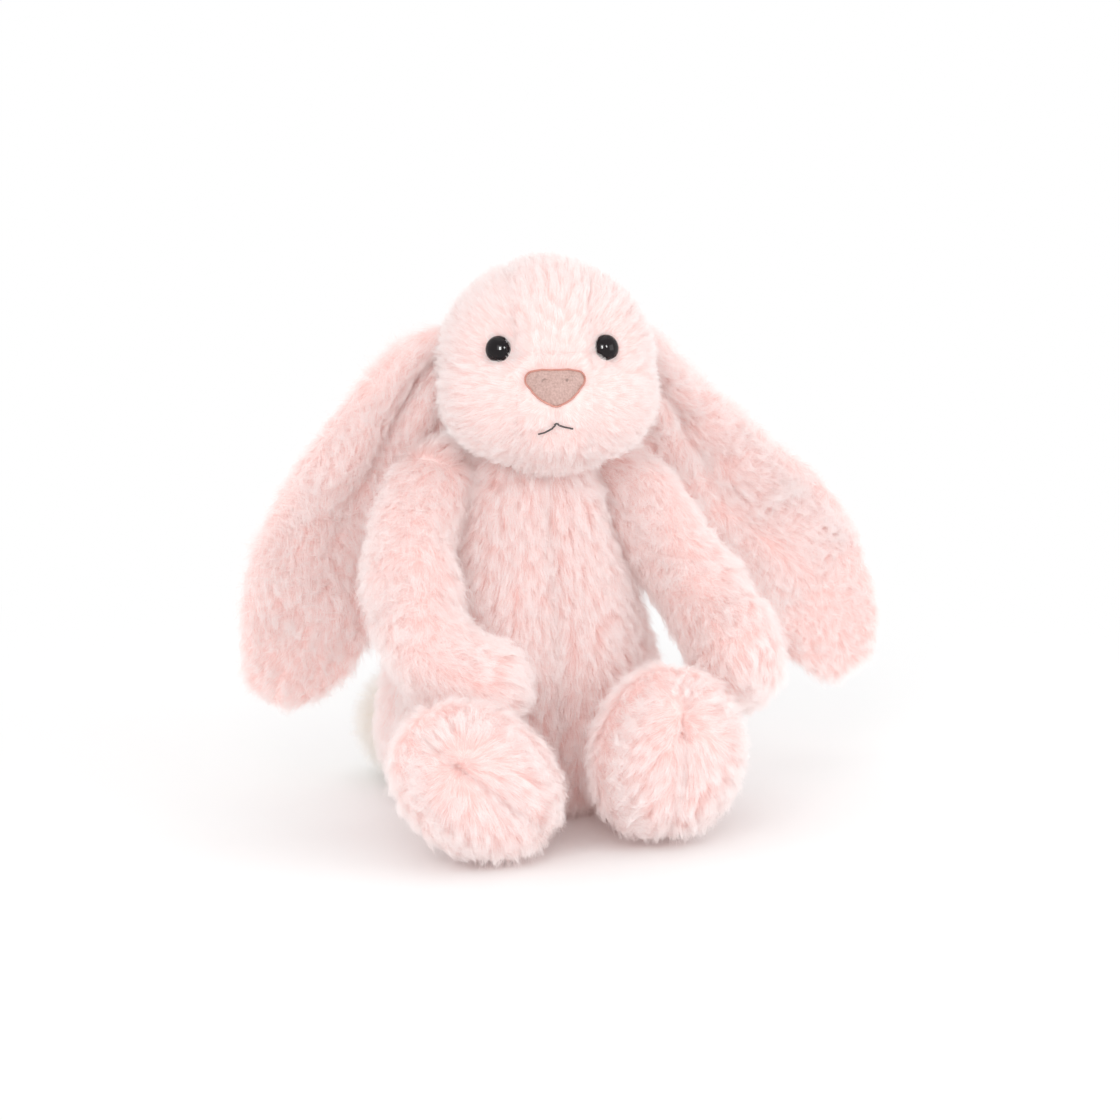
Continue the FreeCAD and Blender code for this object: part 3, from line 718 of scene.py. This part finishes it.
verts = stuffed(verts, faces, head_sewn, pressure=700.0, cap=2.5)
n = normals_of(verts, faces)
front = np.clip(-verts[:, 1] / 30, 0, 1)
for sign in (1, -1):
    away = np.hypot(verts[:, 0] - sign * EYE_SIDE, verts[:, 2] - EYE_UP)
    verts -= n * (front * SOCKET[0] * dent(away, SOCKET[1]))[:, None]
    brow = np.hypot(verts[:, 0] - sign * (EYE_SIDE - 3.5), verts[:, 2] - (EYE_UP + 8))
    verts -= n * (front * BROW[0] * dent(brow, BROW[1]))[:, None]
cleft = dent(verts[:, 0], CLEFT[1]) * np.clip((CLEFT_TOP - verts[:, 2]) / 3, 0, 1)
cleft = cleft * np.clip((verts[:, 2] - CLEFT_BOTTOM) / 6, 0, 1)
verts -= n * (front * CLEFT[0] * cleft)[:, None]
smile = np.hypot((np.abs(verts[:, 0]) - 9) / 1.6, verts[:, 2] + 18.5)
verts -= n * (front * SMILE[0] * dent(smile, SMILE[1]))[:, None]
for seam in (-HEAD_SEAM, HEAD_SEAM):
    verts -= n * (CROWN_SEAM[0] * dent(verts[:, 0] - seam, CROWN_SEAM[1]) * (verts[:, 2] > 5))[:, None]
HEAD_BVH = BVHTree.FromPolygons([tuple(v) for v in verts], faces)


def face_hit(x, z):
    """Point and outward direction on the front of the head, in head coordinates."""
    hit, normal, _, _ = HEAD_BVH.ray_cast(Vector((x, -90, z)), Vector((0, 1, 0)))
    return np.array(hit), np.array(normal)


def on_face(x, z, lift):
    hit, normal = face_hit(x, z)
    return hit + normal * lift


from_nose = np.linalg.norm(verts - NOSE_CENTRE, axis=1)
nose_gap = np.hypot(verts[:, 0] / 12.0, (verts[:, 2] + 2.2) / 8.2)
mouth_gap = np.hypot(verts[:, 0] / 8.0, (verts[:, 2] + 15.8) / 3.6)
eye_gap = np.hypot(np.abs(verts[:, 0]) - EYE_SIDE, verts[:, 2] - EYE_UP)
faced = verts[:, 1] < 0
length = 4.2 + 3.0 * np.clip((from_nose - 12) / 35, 0, 1)
length = np.where(faced & (eye_gap < 9), 3.0 + 0.3 * np.clip(eye_gap - 4.3, 0, 9), length)
length = np.where(faced & (nose_gap < 1.3), 3.6, length)
length = np.where(faced & (mouth_gap < 1.0), 2.6, length)
bare = faced & ((nose_gap < 0.84) | (eye_gap < 2.9))
density = np.where(bare, 0.0, 1.0)
verts = tufted(verts, faces, 0.3)
row_verts = head_to_row(verts)


def in_neck(middle):
    return np.linalg.norm(middle - NECK, axis=1) < 22.5


def head_sorter(middle):
    p = row_to_head(middle)
    crown = (np.abs(p[:, 0]) < HEAD_SEAM) & ((p[:, 2] > 8.6) | (p[:, 1] > 0))
    chin = (np.abs(p[:, 0]) < HEAD_SEAM) & ~crown
    panel = np.where(crown, 0, np.where(chin, 1, np.where(p[:, 0] > 0, 2, 3)))
    return np.where(in_neck(middle), -1, panel)


panels(
    row_verts, faces, head_sorter, ["head_gusset", "head_chin", "head_side_left", "head_side_right"],
    "head", flow=from_nose, length=length, density=density, fur="head",
)
filling("head_stuffing", row_verts, faces, "head")

# ---- eyes, nose, mouth
def washer(name, centre, turn, inner=1.6, outer=4.4, thickness=1.2, bevel=0.3, sectors=48):
    """A pressed plastic ring with rounded edges and six raised ribs, behind an eye."""
    half = thickness / 2
    section = [
        (inner, -half + bevel), (inner + bevel, -half), (outer - bevel, -half), (outer, -half + bevel),
        (outer, half - bevel), (outer - bevel, half), (inner + bevel, half), (inner, half - bevel),
    ]
    verts, faces, count = [], [], len(section)
    for j in range(sectors):
        angle = 2 * math.pi * j / sectors
        rib = 0.25 * max(0.0, math.cos(6 * angle))
        for radius, height in section:
            lifted = height + (rib if height > 0 else 0)
            verts.append((radius * math.cos(angle), radius * math.sin(angle), lifted))
        k = (j + 1) % sectors
        for i in range(count):
            m = (i + 1) % count
            faces.append((j * count + i, j * count + m, k * count + m, k * count + i))
    ring = mesh_object(name, np.array(verts) @ turn.T + centre, faces)
    ring.data.materials.append(WASHER)
    return ring


EYE_RADIUS, EYE_FRONT, EYE_BACK = 4.6, 3.4, 1.6
EYE_LIFT, WASHER_DEPTH = 0.5, 5.0  # from the seat, outwards and inwards
for side, sign in SIDES.items():
    seat, outward = face_hit(sign * EYE_SIDE, EYE_UP)
    outward = Vector(outward) + 0.6 * Vector((sign * 0.45, -1, 0.2)).normalized()
    turn = np.array(Matrix.Rotation(HEAD_YAW, 3, "Z") @ outward.to_track_quat("Z", "Y").to_matrix())
    dome = FINE_BALL * np.where(
        FINE_BALL[:, 2:3] > 0, (EYE_RADIUS, EYE_RADIUS, EYE_FRONT), (EYE_RADIUS, EYE_RADIUS, EYE_BACK)
    )
    dome = dome @ turn.T + head_to_row(seat) + turn[:, 2] * EYE_LIFT
    eye = mesh_object("eye_%s_bead" % side, dome, FINE_FACES)
    smooth_shaded(eye)
    eye.data.materials.append(EYE_BLACK)
    place(eye, "head", "black_eye", "eye_" + side)
    fitting = washer("eye_%s_ring" % side, head_to_row(seat) - turn[:, 2] * WASHER_DEPTH, turn)
    place(fitting, "head", "white_washer", "eye_washer_" + side)

# Half of the nose outline, from the middle of its top edge to its lowest point (x, z).
NOSE_HALF = [(0, 3.5), (5.4, 3.5), (9.2, 2.4), (10.4, 0.0), (8.8, -3.4), (5.0, -6.9), (0, -8.7)]
NOSE_STEPS, NOSE_LAYERS, NOSE_THICKNESS = 96, 14, 0.8
nose_ring = np.array(NOSE_HALF)
nose_ring = np.vstack([nose_ring, (nose_ring * (-1, 1))[-2:0:-1], nose_ring[:1]])
outline = smooth_path(nose_ring, NOSE_STEPS + 1)[:-1]
verts_nose, faces_nose = [], []
for layer in range(NOSE_LAYERS + 1):
    share = layer / NOSE_LAYERS
    puff = 0.5 + 1.9 * (1 - (1 - share) ** 2.4)
    for x, z in outline * (1 - share) + np.array([0, -1.0]) * share:
        verts_nose.append(on_face(x, z, puff))
for layer in range(NOSE_LAYERS):
    low = layer * NOSE_STEPS
    for j in range(NOSE_STEPS):
        k = (j + 1) % NOSE_STEPS
        faces_nose.append((low + j, low + k, low + NOSE_STEPS + k, low + NOSE_STEPS + j))
nose = mesh_object("nose_suede_patch", head_to_row(np.array(verts_nose)), faces_nose)
# the rings close on one point in the middle, so that is welded
weld = bmesh.new()
weld.from_mesh(nose.data)
bmesh.ops.remove_doubles(weld, verts=weld.verts, dist=2e-5)
bmesh.ops.recalc_face_normals(weld, faces=weld.faces)
weld.to_mesh(nose.data)
weld.free()
smooth_shaded(nose)
nose.data.materials.append(SUEDE)
thick = nose.modifiers.new("Thickness", "SOLIDIFY")
thick.thickness, thick.offset = NOSE_THICKNESS * MM, -1
place(nose, "head", "nose_suede", "nose_patch")


def thread(name, points, radius, material, closed=False):
    curve = bpy.data.curves.new(name, "CURVE")
    curve.dimensions, curve.bevel_depth, curve.bevel_resolution = "3D", radius * MM, 3
    curve.use_fill_caps = not closed
    spline = curve.splines.new("POLY")
    spline.points.add(len(points) - 1)
    for spot, p in zip(spline.points, points):
        spot.co = (*(np.asarray(p) * MM), 1)
    spline.use_cyclic_u = closed
    curve.materials.append(material)
    return new_object(name, curve)


edge = smooth_path(nose_ring * 0.97, 240)[:-1]
edge_points = [on_face(x, z, 0.85 + 0.12 * math.sin(k * 2.1)) for k, (x, z) in enumerate(edge)]
edging = thread("nose_edge_stitching", head_to_row(edge_points), 0.34, STITCH, True)
place(edging, "head", "nose_suede")
MOUTH = [(-5.4, -17.6), (-2.6, -16.4), (0.2, -14.3), (2.4, -15.2), (5.4, -15.9)]
mouth_line = smooth_path(MOUTH, 40)
mouth_points = head_to_row([on_face(x, z, 1.4) for x, z in mouth_line])
mouth = thread("mouth_thread", mouth_points, 0.32, DARK)
place(mouth, "head", "dark_thread", "mouth_stitch")

# ---- torso
# (height, x, y, half width, half depth), a little inside the fur line
TORSO = [
    (1.2, 0, 0, 29, 26), (3.5, 0, 0, 37, 32), (10, 0, -1, 44.5, 38.5), (22, 0, -2, 48, 41.5),
    (36, 0, -3.5, 47.5, 42), (57, 0, -5.6, 44, 39.5), (80, 0, -8, 35.5, 32.5), (97, 0, -9.8, 29, 26.5),
    (112, 0, -11, 24.5, 23), (126, 0, -12, 22, 21.5), (136, 0, -12, 17, 17), (143, 0, -12, 8, 8),
]
SIDE_SEAM_Y, SEAT_HEIGHT, SEAT_RADIUS, GROUNDED_TO = -5.0, 2.6, 31.0, 12.0
torso = Shape()
torso.rings(TORSO)
verts, faces = torso.joined("torso_form", smooth=10)
verts, faces = cut_along(verts, faces, [
    ((0, 0, 0), (1, 0, 0)), ((0, SIDE_SEAM_Y, 0), (0, 1, 0)), ((0, 0, SEAT_HEIGHT), (0, 0, 1)),
])


def torso_sewn(p):
    seams = (np.abs(p[:, 0]) < 2.5) | (np.abs(p[:, 1] - SIDE_SEAM_Y) < 2.5)
    return seams | (p[:, 2] < 4) | (p[:, 2] > 118)


form_height = verts[:, 2].copy()
verts = stuffed(verts, faces, torso_sewn)
# taking the swelling off would lift the seat, so the lowest part keeps the height it had
grounded = np.clip((GROUNDED_TO - form_height) / (GROUNDED_TO - SEAT_HEIGHT), 0, 1)
verts[:, 2] += grounded * (form_height - verts[:, 2])
verts[:, 2] = np.maximum(verts[:, 2], 1.0)
n = normals_of(verts, faces)
verts -= n * (1.3 * dent(verts[:, 0], 1.6) * (verts[:, 2] > 3))[:, None]
verts -= n * (0.7 * dent(verts[:, 1] - SIDE_SEAM_Y, 1.6) * (verts[:, 2] > 3))[:, None]
flow = -verts[:, 2] + 2.5 * waves(verts, 45, 51)
length = np.full(len(verts), 8.5)
length *= 1 - 0.5 * dent(verts[:, 0], 1.2) * (verts[:, 1] < 0)
length *= np.clip((verts[:, 2] - 0.5) / 7, 0.12, 1)
density = np.where(verts[:, 2] < 2.0, 0.15, 1.0)
density = np.where(np.linalg.norm(verts - head_to_row((0, 0, 0)), axis=1) < 33, 0.0, density)
verts = tufted(verts, faces)


def torso_sorter(p):
    seat = (p[:, 2] < SEAT_HEIGHT) & (np.hypot(p[:, 0], p[:, 1] * 1.1) < SEAT_RADIUS)
    side = np.where(p[:, 0] > 0, 0, 1) + np.where(p[:, 1] < SIDE_SEAM_Y, 0, 2)
    return np.where(seat, 4, side)


panels(
    verts, faces, torso_sorter,
    ["torso_front_left", "torso_front_right", "torso_back_left", "torso_back_right", "torso_base"],
    "torso", flow=flow, length=length, density=density, fur="body",
)
filling("torso_stuffing", verts, faces, "torso")

# ---- arms
# (x, y, z, radius) from the shoulder to the paw
ARMS = {
    "left": [
        (33, -8, 122, 12.6), (42, -17, 108, 12.8), (50.5, -28, 92, 12.8), (57.5, -43, 77, 13.0),
        (61, -54, 67, 13.6), (61.5, -62, 59, 13.4),
    ],
    "right": [
        (-33, -8, 122, 12.6), (-42.5, -15, 110, 13.4), (-49, -26, 94, 14.2), (-50, -38, 78, 14.2),
        (-45.5, -48, 67, 14.2), (-38, -54, 60, 14.2), (-31, -56, 57, 13.6),
    ],
}
PATH_STEPS = 80


def arm_seam(path):
    """The plane of the edge seam: a point in it, and its forward normal."""
    start, bend, end = path[0], path[len(path) // 2], path[-1]
    normal = np.cross(end - start, bend - start)
    normal /= np.linalg.norm(normal)
    return start, normal if normal[1] < 0 else -normal


for side in SIDES:
    part = "arm_" + side
    path = np.asarray(ARMS[side], float)[:, :3]
    start, across = arm_seam(path)
    form = Shape()
    form.sweep(ARMS[side], 70)
    verts, faces = form.joined("arm_form_" + side, smooth=10)
    verts, faces = cut_along(verts, faces, [(start, across)])
    verts = stuffed(
        verts, faces, lambda p: (np.abs((p - start) @ across) < 2.5) | (p[:, 2] > 126)
    )
    n = normals_of(verts, faces)
    line = smooth_path(path, PATH_STEPS)
    best = np.linalg.norm(verts[:, None, :] - line[None, :, :], axis=2).argmin(1)
    share = best / (PATH_STEPS - 1)
    off_seam = (verts - start) @ across
    verts -= n * (0.9 * dent(off_seam, 1.4))[:, None]
    verts -= n * (0.8 * waves(verts, 26, 5))[:, None]
    # the pile follows the distance down the arm, running on around the paw
    ahead = line[-1] - line[-4]
    beyond = np.clip((verts - line[-1]) @ (ahead / np.linalg.norm(ahead)), -15, 30)
    reach = np.linalg.norm(np.diff(line, axis=0), axis=1).sum()
    flow = share * reach + np.where(share > 0.9, beyond, 0) - 0.25 * verts[:, 2]
    flow = flow + 2.5 * waves(verts, 30, 52)
    length = 8.0 - 1.5 * dent(off_seam, 1.2)
    verts = tufted(verts, faces, seed=7)
    panels(
        verts, faces, lambda p: np.where((p - start) @ across > 0, 0, 1),
        [part + "_front", part + "_back"], part,
        flow=flow, length=length, fur="body",
    )
    filling(part + "_stuffing", verts, faces, part)

# ---- legs
FEET = {
    "left": {"centre": (28.5, -76, 32.8), "lean": 7.0, "half": (24.5, 17.5, 29.5)},
    "right": {"centre": (-42, -78, 29.2), "lean": -50.0, "half": (22.5, 17.0, 31.5)},
}
for side, sign in SIDES.items():
    part, foot = "leg_" + side, FEET[side]
    axes = np.array(Euler((0, math.radians(foot["lean"]), 0)).to_matrix())
    centre = np.array(foot["centre"], float)
    w, d, l = foot["half"]
    form = Shape()
    form.ellipsoid(centre, (w, d * 0.93, l), axes)
    form.ellipsoid(centre + axes @ np.array([0, 3, -l * 0.42]), (w * 0.86, d, l * 0.52), axes)
    form.ellipsoid(centre + axes @ np.array([0, 1, l * 0.30]), (w * 0.84, d * 0.9, l * 0.62), axes)
    hip = np.array([sign * 31.0, -37.0, 19.0])
    ankle = centre + axes @ np.array([0, 4, -l * 0.34])
    ankle[2] = max(ankle[2], 17)
    form.sweep([(*hip, 13.6), (*(hip * 0.5 + ankle * 0.5), 14.6), (*ankle, 14.6)], 30)
    verts, faces = form.joined("leg_form_" + side, smooth=22)
    verts, faces = cut_along(verts, faces, [(centre, axes @ np.array([1.0, 0, 0]))])
    toe_tack = centre + axes @ np.array([0, -d, l * 0.42])

    def leg_sewn(p):
        seam = np.abs(((p - centre) @ axes)[:, 0]) < 2.5
        return seam | (np.linalg.norm(p - toe_tack, axis=1) < 6) | (p[:, 1] > -40) | (p[:, 2] < 3)

    verts = stuffed(verts, faces, leg_sewn)
    n = normals_of(verts, faces)
    local = (verts - centre) @ axes
    sole = np.clip(-local[:, 1] / 8, 0, 1)
    verts -= n * (1.2 * sole * dent(local[:, 0], 1.8) * (np.abs(local[:, 2]) < l))[:, None]
    tack_gap = np.hypot(local[:, 0], local[:, 2] - l * 0.42)
    verts -= n * (2.8 * sole * dent(tack_gap, 4.5))[:, None]
    verts[:, 2] = np.maximum(verts[:, 2], 0.9)
    # the pile runs away from the tack on the sole, and downwards elsewhere
    flow = -verts[:, 2] + 0.35 * np.abs(local[:, 0]) - 0.15 * verts[:, 1]
    flow = flow * (1 - 0.7 * sole) + 0.7 * sole * tack_gap + 2.0 * waves(verts, 30, 53)
    length = 7.6 - 1.8 * dent(local[:, 0], 1.5) - 3.0 * sole * dent(tack_gap, 3.5)
    length = length * np.clip((verts[:, 2] - 0.5) / 8, 0.15, 1)
    verts = tufted(verts, faces, seed=9)
    verts[:, 2] = np.maximum(verts[:, 2], 0.6)
    panels(
        verts, faces, lambda p: np.where(((p - centre) @ axes)[:, 0] * sign > 0, 0, 1),
        [part + "_outer", part + "_inner"], part,
        flow=flow, length=length, fur="body",
    )
    filling(part + "_stuffing", verts, faces, part)

# ---- ears
# (x, z, half width) down the middle of each ear
EARS = {
    "left": [
        (38, 168, 8), (44.5, 161, 10), (57.4, 145, 13.5), (71.4, 127, 20), (85.5, 109.5, 24.5),
        (101, 93, 28.6), (114, 76, 28), (124.5, 57.5, 22.5), (130, 46, 15),
    ],
    "right": [
        (-30, 168, 9), (-37.3, 160.5, 13.5), (-44, 147.5, 18), (-51.5, 131.7, 21.5), (-60.5, 115.3, 23.5),
        (-69, 100, 25), (-75, 83, 25.5), (-81, 67, 23), (-87, 56.5, 17.5), (-91, 51.5, 12),
    ],
}
EAR_BEND = {"left": 132.0, "right": 226.0}
EAR_TOP, EAR_REAR_Y = 95.0, 8.0  # where the bent ear stands furthest back
EAR_HALF_THICKNESS = 3.3
ARM_TOP = 116.0  # height at which the arms begin to lie against the ears
# (depth, place across the ear, width) of the folds, +1 being the outer edge
INNER_ROLL, MIDDLE_FOLD, OUTER_ROLL = (-8.0, -0.42, 0.26), (6.5, -0.02, 0.24), (-3.5, 0.5, 0.3)


def fold(u, shape):
    depth, place_across, width = shape
    return depth * dent(u - place_across, width)


EAR_STEPS = 90
for side, sign in SIDES.items():
    part, path = "ear_" + side, smooth_path(EARS[side], EAR_STEPS)
    tangent = np.gradient(path[:, :2], axis=0)
    tangent /= np.linalg.norm(tangent, axis=1, keepdims=True)
    form = Shape()
    for (x, z, w), (tx, tz) in zip(path, tangent):
        turn = np.array([[tz, 0, tx], [0, 1, 0], [-tx, 0, tz]])
        form.ellipsoid((x, 0, z), (w, EAR_HALF_THICKNESS, 7.0), turn, fine=False)
    verts, faces = form.joined("ear_form_" + side, smooth=8)
    verts, faces = cut_along(verts, faces, [((0, 0, 0), (0, 1, 0))])
    level = np.array([verts[list(f), 1].mean() for f in faces])
    gap = np.hypot(verts[:, None, 0] - path[None, :, 0], verts[:, None, 2] - path[None, :, 1])
    best = gap.argmin(1)
    share = best / (EAR_STEPS - 1)
    spot, heading = path[best], tangent[best]
    offset = verts[:, [0, 2]] - spot[:, :2]
    across = (offset[:, 0] * heading[:, 1] - offset[:, 1] * heading[:, 0]) * -sign
    along = (offset * heading).sum(1)
    u = np.clip(across / spot[:, 2], -1.2, 1.2)  # +1 on the outer edge
    bend = EAR_BEND[side]
    depth = EAR_REAR_Y - bend + np.sqrt(bend**2 - (verts[:, 2] - EAR_TOP) ** 2)
    # lengthwise folds gathered at the root, fading down the ear
    gather = np.clip(1 - share / 0.6, 0, 1)
    beside_head = np.clip((verts[:, 2] - ARM_TOP) / 24, 0, 1)  # the roll by the head stops above the arm
    ridge = beside_head * fold(u, INNER_ROLL) + fold(u, MIDDLE_FOLD) + fold(u, OUTER_ROLL)
    pleats = gather**0.7 * ridge
    roll = -2.6 * u**2 * (1 - gather) * np.clip(share * 2, 0, 1)
    flop = 3.0 * dent(share - 0.70, 0.07) * (1 - 0.6 * u**2)
    flow = share * 150 + 0.12 * np.abs(across) + 2.5 * waves(verts * (1, 0, 1), 30, 54)
    flow += np.where((best == 0) | (best == EAR_STEPS - 1), along, 0)
    verts[:, 1] += depth + pleats + roll - flop + 1.2 * waves(verts * (1, 0, 1), 38, 21)
    length = np.where(np.abs(u) > 0.8, 8.5, 7.8) * (1 - 0.3 * np.clip((share - 0.7) / 0.1, 0, 1))
    length *= 1 - 0.45 * gather * dent(u + 0.02, 0.2)
    verts = tufted(verts, faces, 0.35, seed=15)
    for piece in panels(
        verts, faces, lambda p: np.where(level < 0, 0, 1),
        [part + "_front", part + "_back"], None, flow=flow, length=length,
        fur="ear", thickness=1.4,
    ):
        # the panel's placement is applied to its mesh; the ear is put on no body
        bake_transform(piece)

# ---- tail
form = Shape()
form.ellipsoid((-27.5, 42.0, 21.5), (15.0, 15.0, 15.5))
verts, faces = form.joined("tail_form", smooth=4)
verts = tufted(verts, faces, 0.8, seed=31)
panels(
    verts, faces, lambda p: np.zeros(len(p)), ["tail_cover"], "tail", "cream_plush",
    flow=-verts[:, 2], length=np.full(len(verts), 8.5), fur="tail", backing=BACKING_CREAM,
)
filling("tail_stuffing", verts, faces, "tail")

# ---- pieces kept from the CAD
KEPT = {
    "stuffing": FIBRE, "pellet_pouch": POUCH, "seat_pellets": PELLETS,
    "stitch": THREAD, "thread": THREAD, "label": SATIN,
}
for obj in [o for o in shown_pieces() if "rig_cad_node" in o]:
    for word, material in KEPT.items():
        if word in obj.name:
            obj.data.materials.clear()
            obj.data.materials.append(material)
            break
    else:
        print("no material for", obj.name)

# ---- studio
FLOOR_HALF = 3000
floor = mesh_object(
    "floor", [(x * FLOOR_HALF, y * FLOOR_HALF, 0) for x, y in ((-1, -1), (1, -1), (1, 1), (-1, 1))],
    [(0, 1, 2, 3)],
)
FLOOR_GREY = 0.93
FLOOR_SHADED, FLOOR_LIT = 0.14, 0.42  # metres out to which the floor takes shade, and is plain white


def floor_material():
    """Pale paper; further out it is lit to plain white, so that it has no visible edge."""
    mat, tree = new_material("floor_white")
    out = node(tree, "ShaderNodeOutputMaterial")
    skin = node(tree, "ShaderNodeBsdfDiffuse", Color=(FLOOR_GREY, FLOOR_GREY, FLOOR_GREY, 1))
    glow = node(tree, "ShaderNodeEmission", Strength=1.0)
    mix = node(tree, "ShaderNodeMixShader")
    where = node(tree, "ShaderNodeTexCoord")
    reach = node(tree, "ShaderNodeVectorMath", operation="LENGTH")
    fade = node(tree, "ShaderNodeMapRange", **{"From Min": FLOOR_SHADED, "From Max": FLOOR_LIT})
    fade.interpolation_type = "SMOOTHSTEP"
    wire(
        tree,
        (where.outputs["Object"], reach.inputs[0]), (reach.outputs["Value"], fade.inputs["Value"]),
        (fade.outputs["Result"], mix.inputs["Fac"]), (skin.outputs[0], mix.inputs[1]),
        (glow.outputs[0], mix.inputs[2]), (mix.outputs[0], out.inputs[0]),
    )
    return mat


floor.data.materials.append(floor_material())


AIM = Vector((0, -0.03, 0.1))


def softbox(name, spot, size, power):
    """An area light aimed at the toy: its place and size in metres, its power in watts."""
    light = bpy.data.lights.new(name, "AREA")
    light.shape, light.energy = "RECTANGLE", power
    light.size, light.size_y = size
    obj = new_object(name, light)
    obj.location = spot
    obj.rotation_euler = (AIM - Vector(spot)).to_track_quat("-Z", "Y").to_euler()
    return obj


softbox("key", (-0.70, -1.15, 0.72), (0.8, 0.7), 5.6)
softbox("fill", (0.95, -0.95, 0.40), (0.7, 0.7), 3.6)
softbox("top", (0.0, 0.1, 1.3), (1.0, 1.0), 1.6)

# the room light on the toy is a little weaker than the white that the camera sees
ROOM_LIGHT = 0.92
WHITE = (1, 1, 1, 1)
world = bpy.data.worlds.new("studio")
scene = bpy.context.scene
scene.world = world
world.use_nodes = True
sky = world.node_tree
sky_light = sky.nodes["Background"]
sky_light.inputs["Color"].default_value = WHITE
sky_light.inputs["Strength"].default_value = ROOM_LIGHT
sky_seen = node(sky, "ShaderNodeBackground", Strength=1.0, Color=WHITE)
sky_rays = node(sky, "ShaderNodeLightPath")
sky_mix = node(sky, "ShaderNodeMixShader")
wire(
    sky,
    (sky_rays.outputs["Is Camera Ray"], sky_mix.inputs["Fac"]),
    (sky_light.outputs[0], sky_mix.inputs[1]), (sky_seen.outputs[0], sky_mix.inputs[2]),
    (sky_mix.outputs[0], sky.nodes["World Output"].inputs[0]),
)

# windows that only show as catch-lights in the eyes
for window in (
    softbox("window_left", (-0.62, -1.25, 0.62), (0.34, 0.5), 26.0),
    softbox("window_right", (0.25, -1.35, 0.70), (0.22, 0.3), 10.0),
):
    window.visible_diffuse = window.visible_transmission = False

# pale fur is lit by many bounces between its strands
scene.cycles.max_bounces, scene.cycles.diffuse_bounces, scene.cycles.transmission_bounces = 16, 7, 12

CAMERA_AZIMUTH, CAMERA_ELEVATION = math.radians(-20), math.radians(11)
CAMERA_DISTANCE, CAMERA_LENS, CAMERA_SENSOR = 1.15, 100, 36  # metres, millimetres, millimetres
PICTURE_RIGHT, PICTURE_UP = 0.0155, 0.0875  # metres from the seat's centre to the middle of the picture
camera = new_object("camera", bpy.data.cameras.new("camera"))
scene.camera = camera
camera.data.lens = CAMERA_LENS
camera.data.sensor_width = CAMERA_SENSOR
level = math.cos(CAMERA_ELEVATION)
back = Vector(
    (math.sin(CAMERA_AZIMUTH) * level, -math.cos(CAMERA_AZIMUTH) * level, math.sin(CAMERA_ELEVATION))
)
view_right = Vector((math.cos(CAMERA_AZIMUTH), math.sin(CAMERA_AZIMUTH), 0))
view_up = back.cross(view_right)
camera.location = view_right * PICTURE_RIGHT + view_up * PICTURE_UP + back * CAMERA_DISTANCE
camera.rotation_euler = (-back).to_track_quat("-Z", "Y").to_euler()
scene.view_settings.view_transform = "Standard"
